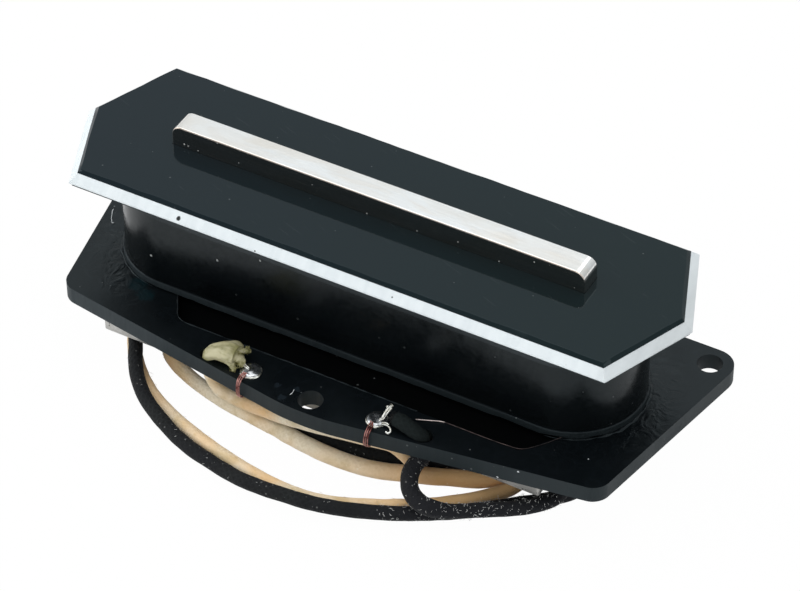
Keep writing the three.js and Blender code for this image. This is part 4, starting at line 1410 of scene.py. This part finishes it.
def make_cream_start(draw):
    sleeve_radius = flare(CREAM_SLEEVE_RADII_MM)

    def folded(walked, angle):
        fold = 0.07 * math.sin(3 * angle + walked / MM * 0.9) + 0.05 * math.sin(7 * angle - walked / MM)
        ruck = 0.06 * lumps(walked, angle, 1.4, 1.5)
        return sleeve_radius(walked) * (1 + fold * min(1, walked / MM / 4) + ruck)

    parts = [sweep("sleeve", path_through(CREAM_SLEEVE_MM, 0.15), folded, 36, squash=(1, 1.22, 0.86))]
    for points, radii, squash in CREAM_FLAPS_MM:
        width = flare(radii)
        parts.append(sweep("flap", path_through(points, 0.1), lambda s, a: width(s) * (
            1 + 0.25 * lumps(s, a, 3, 2)), 14, squash=squash))
    finish_piece(joined(parts), "cream_sleeve", "cream_cloth", ["lead_start_left"], WRINKLED_ANGLE,
                 look="waxed_sleeve")
    paths = []
    for place, heading, spread, count, length in CREAM_FRAY_MM:
        paths += fray(draw, Vector(place) * MM, Vector(heading), spread * MM, count, length * MM)
    fibres = threads("fray", paths, CREAM_FRAY_RADIUS)
    finish_piece(fibres, "cream_fray", "cream_cloth", [], look="olive_thread")


def make_black_start(draw):
    path = path_through(BLACK_STUB_MM, 0.15)
    width = flare(BLACK_STUB_RADII_MM)
    stub = sweep("black_stub", path, lambda s, a: width(s) * (1 + 0.06 * lumps(s, a, 2, 2)), 24)
    finish_piece(stub, "black_stub", "black_cloth", ["lead_start_right"], look="lit_stub_cloth")
    heading, spread, count, length = BLACK_FRAY_MM
    paths = fray(draw, path[-1], Vector(heading), spread * MM, count, length * MM)
    fibres = threads("fray", paths, BLACK_FRAY_RADIUS)
    finish_piece(fibres, "black_fray", "black_cloth", [], look="black_thread")


# Leads

def swelling(path, first, last, gain):
    """How much thicker a lead is along the stretch between two places on it."""
    reach = walked_along(path)
    stops = []
    for place in (first, last):
        target = Vector(place) * MM
        stops.append(reach[min(range(len(path)), key=lambda k: (path[k] - target).length)])

    def share(walked):
        inside = min(walked - stops[0], stops[1] - walked) / SWELL_RUN
        return 1 + gain * max(0.0, min(1.0, inside + 1))
    return share


def make_leads(draw):
    radius = CORD_DIAMETER / 2
    for label, route, stretch, fuzz_look, fuzz_places in (
        ("black", BLACK_ROUTE_MM, BLACK_FULL_STRETCH_MM, "lint", BLACK_FUZZ_MM),
        ("cream", CREAM_ROUTE_MM, CREAM_FULL_STRETCH_MM, "cream_thread", CREAM_FUZZ_MM),
    ):
        node, slot = f"lead_{label}", f"{label}_cloth"
        path = path_through(route, 0.35)
        full = swelling(path, *stretch)
        lead = sweep(f"{label}_lead", path, lambda s, a: radius * full(s) * (
            1 + 0.05 * lumps(s, a, 0.6, 0.8)), 24)
        finish_piece(lead, lead.name, slot, [node])
        heading = (path[-1] - path[-4]).normalized()
        start = path[-1] + heading * LINK_GAP
        stops = [start + heading * share * TINNED_END_LENGTH for share in (0, 0.5, 1)]
        end_path = smooth_path(stops, 0.4 * MM)
        end = sweep(f"{label}_lead_end", end_path, lambda s, a: TINNED_END_RADIUS * (
            1 + 0.12 * math.sin(4 * a + s / MM * 2.2)), 24)
        finish_piece(end, end.name, "tinned_metal", [f"{node}_end"])
        paths = []
        for swell, count, length, lift, left, back in fuzz_places:
            paths += fuzz_on(draw, path, radius * swell, count, length * MM, lift,
                             lambda p: p.x > left * MM and p.y < back * MM)
        fuzz = threads(f"{label}_fuzz", paths, FUZZ_RADIUS)
        finish_piece(fuzz, fuzz.name, slot, [], look=fuzz_look)
        path_length(path)


make_camera()
for softbox in SOFTBOXES:
    add_softbox(*softbox)
make_world()
make_floor()

make_materials()
draw = random.Random(SEED)
noise.seed_set(SEED)
make_leads(draw)
make_base_plate()
make_plate_marks()
make_cover()
make_blade()
make_coil()
make_magnets()
for label, side in (("left", -1), ("right", 1)):
    make_eyelet(label, side)
    make_solder(label, side)
make_wires()
make_cream_start(draw)
make_black_start(draw)

bpy.context.scene.view_settings.view_transform = "Standard"
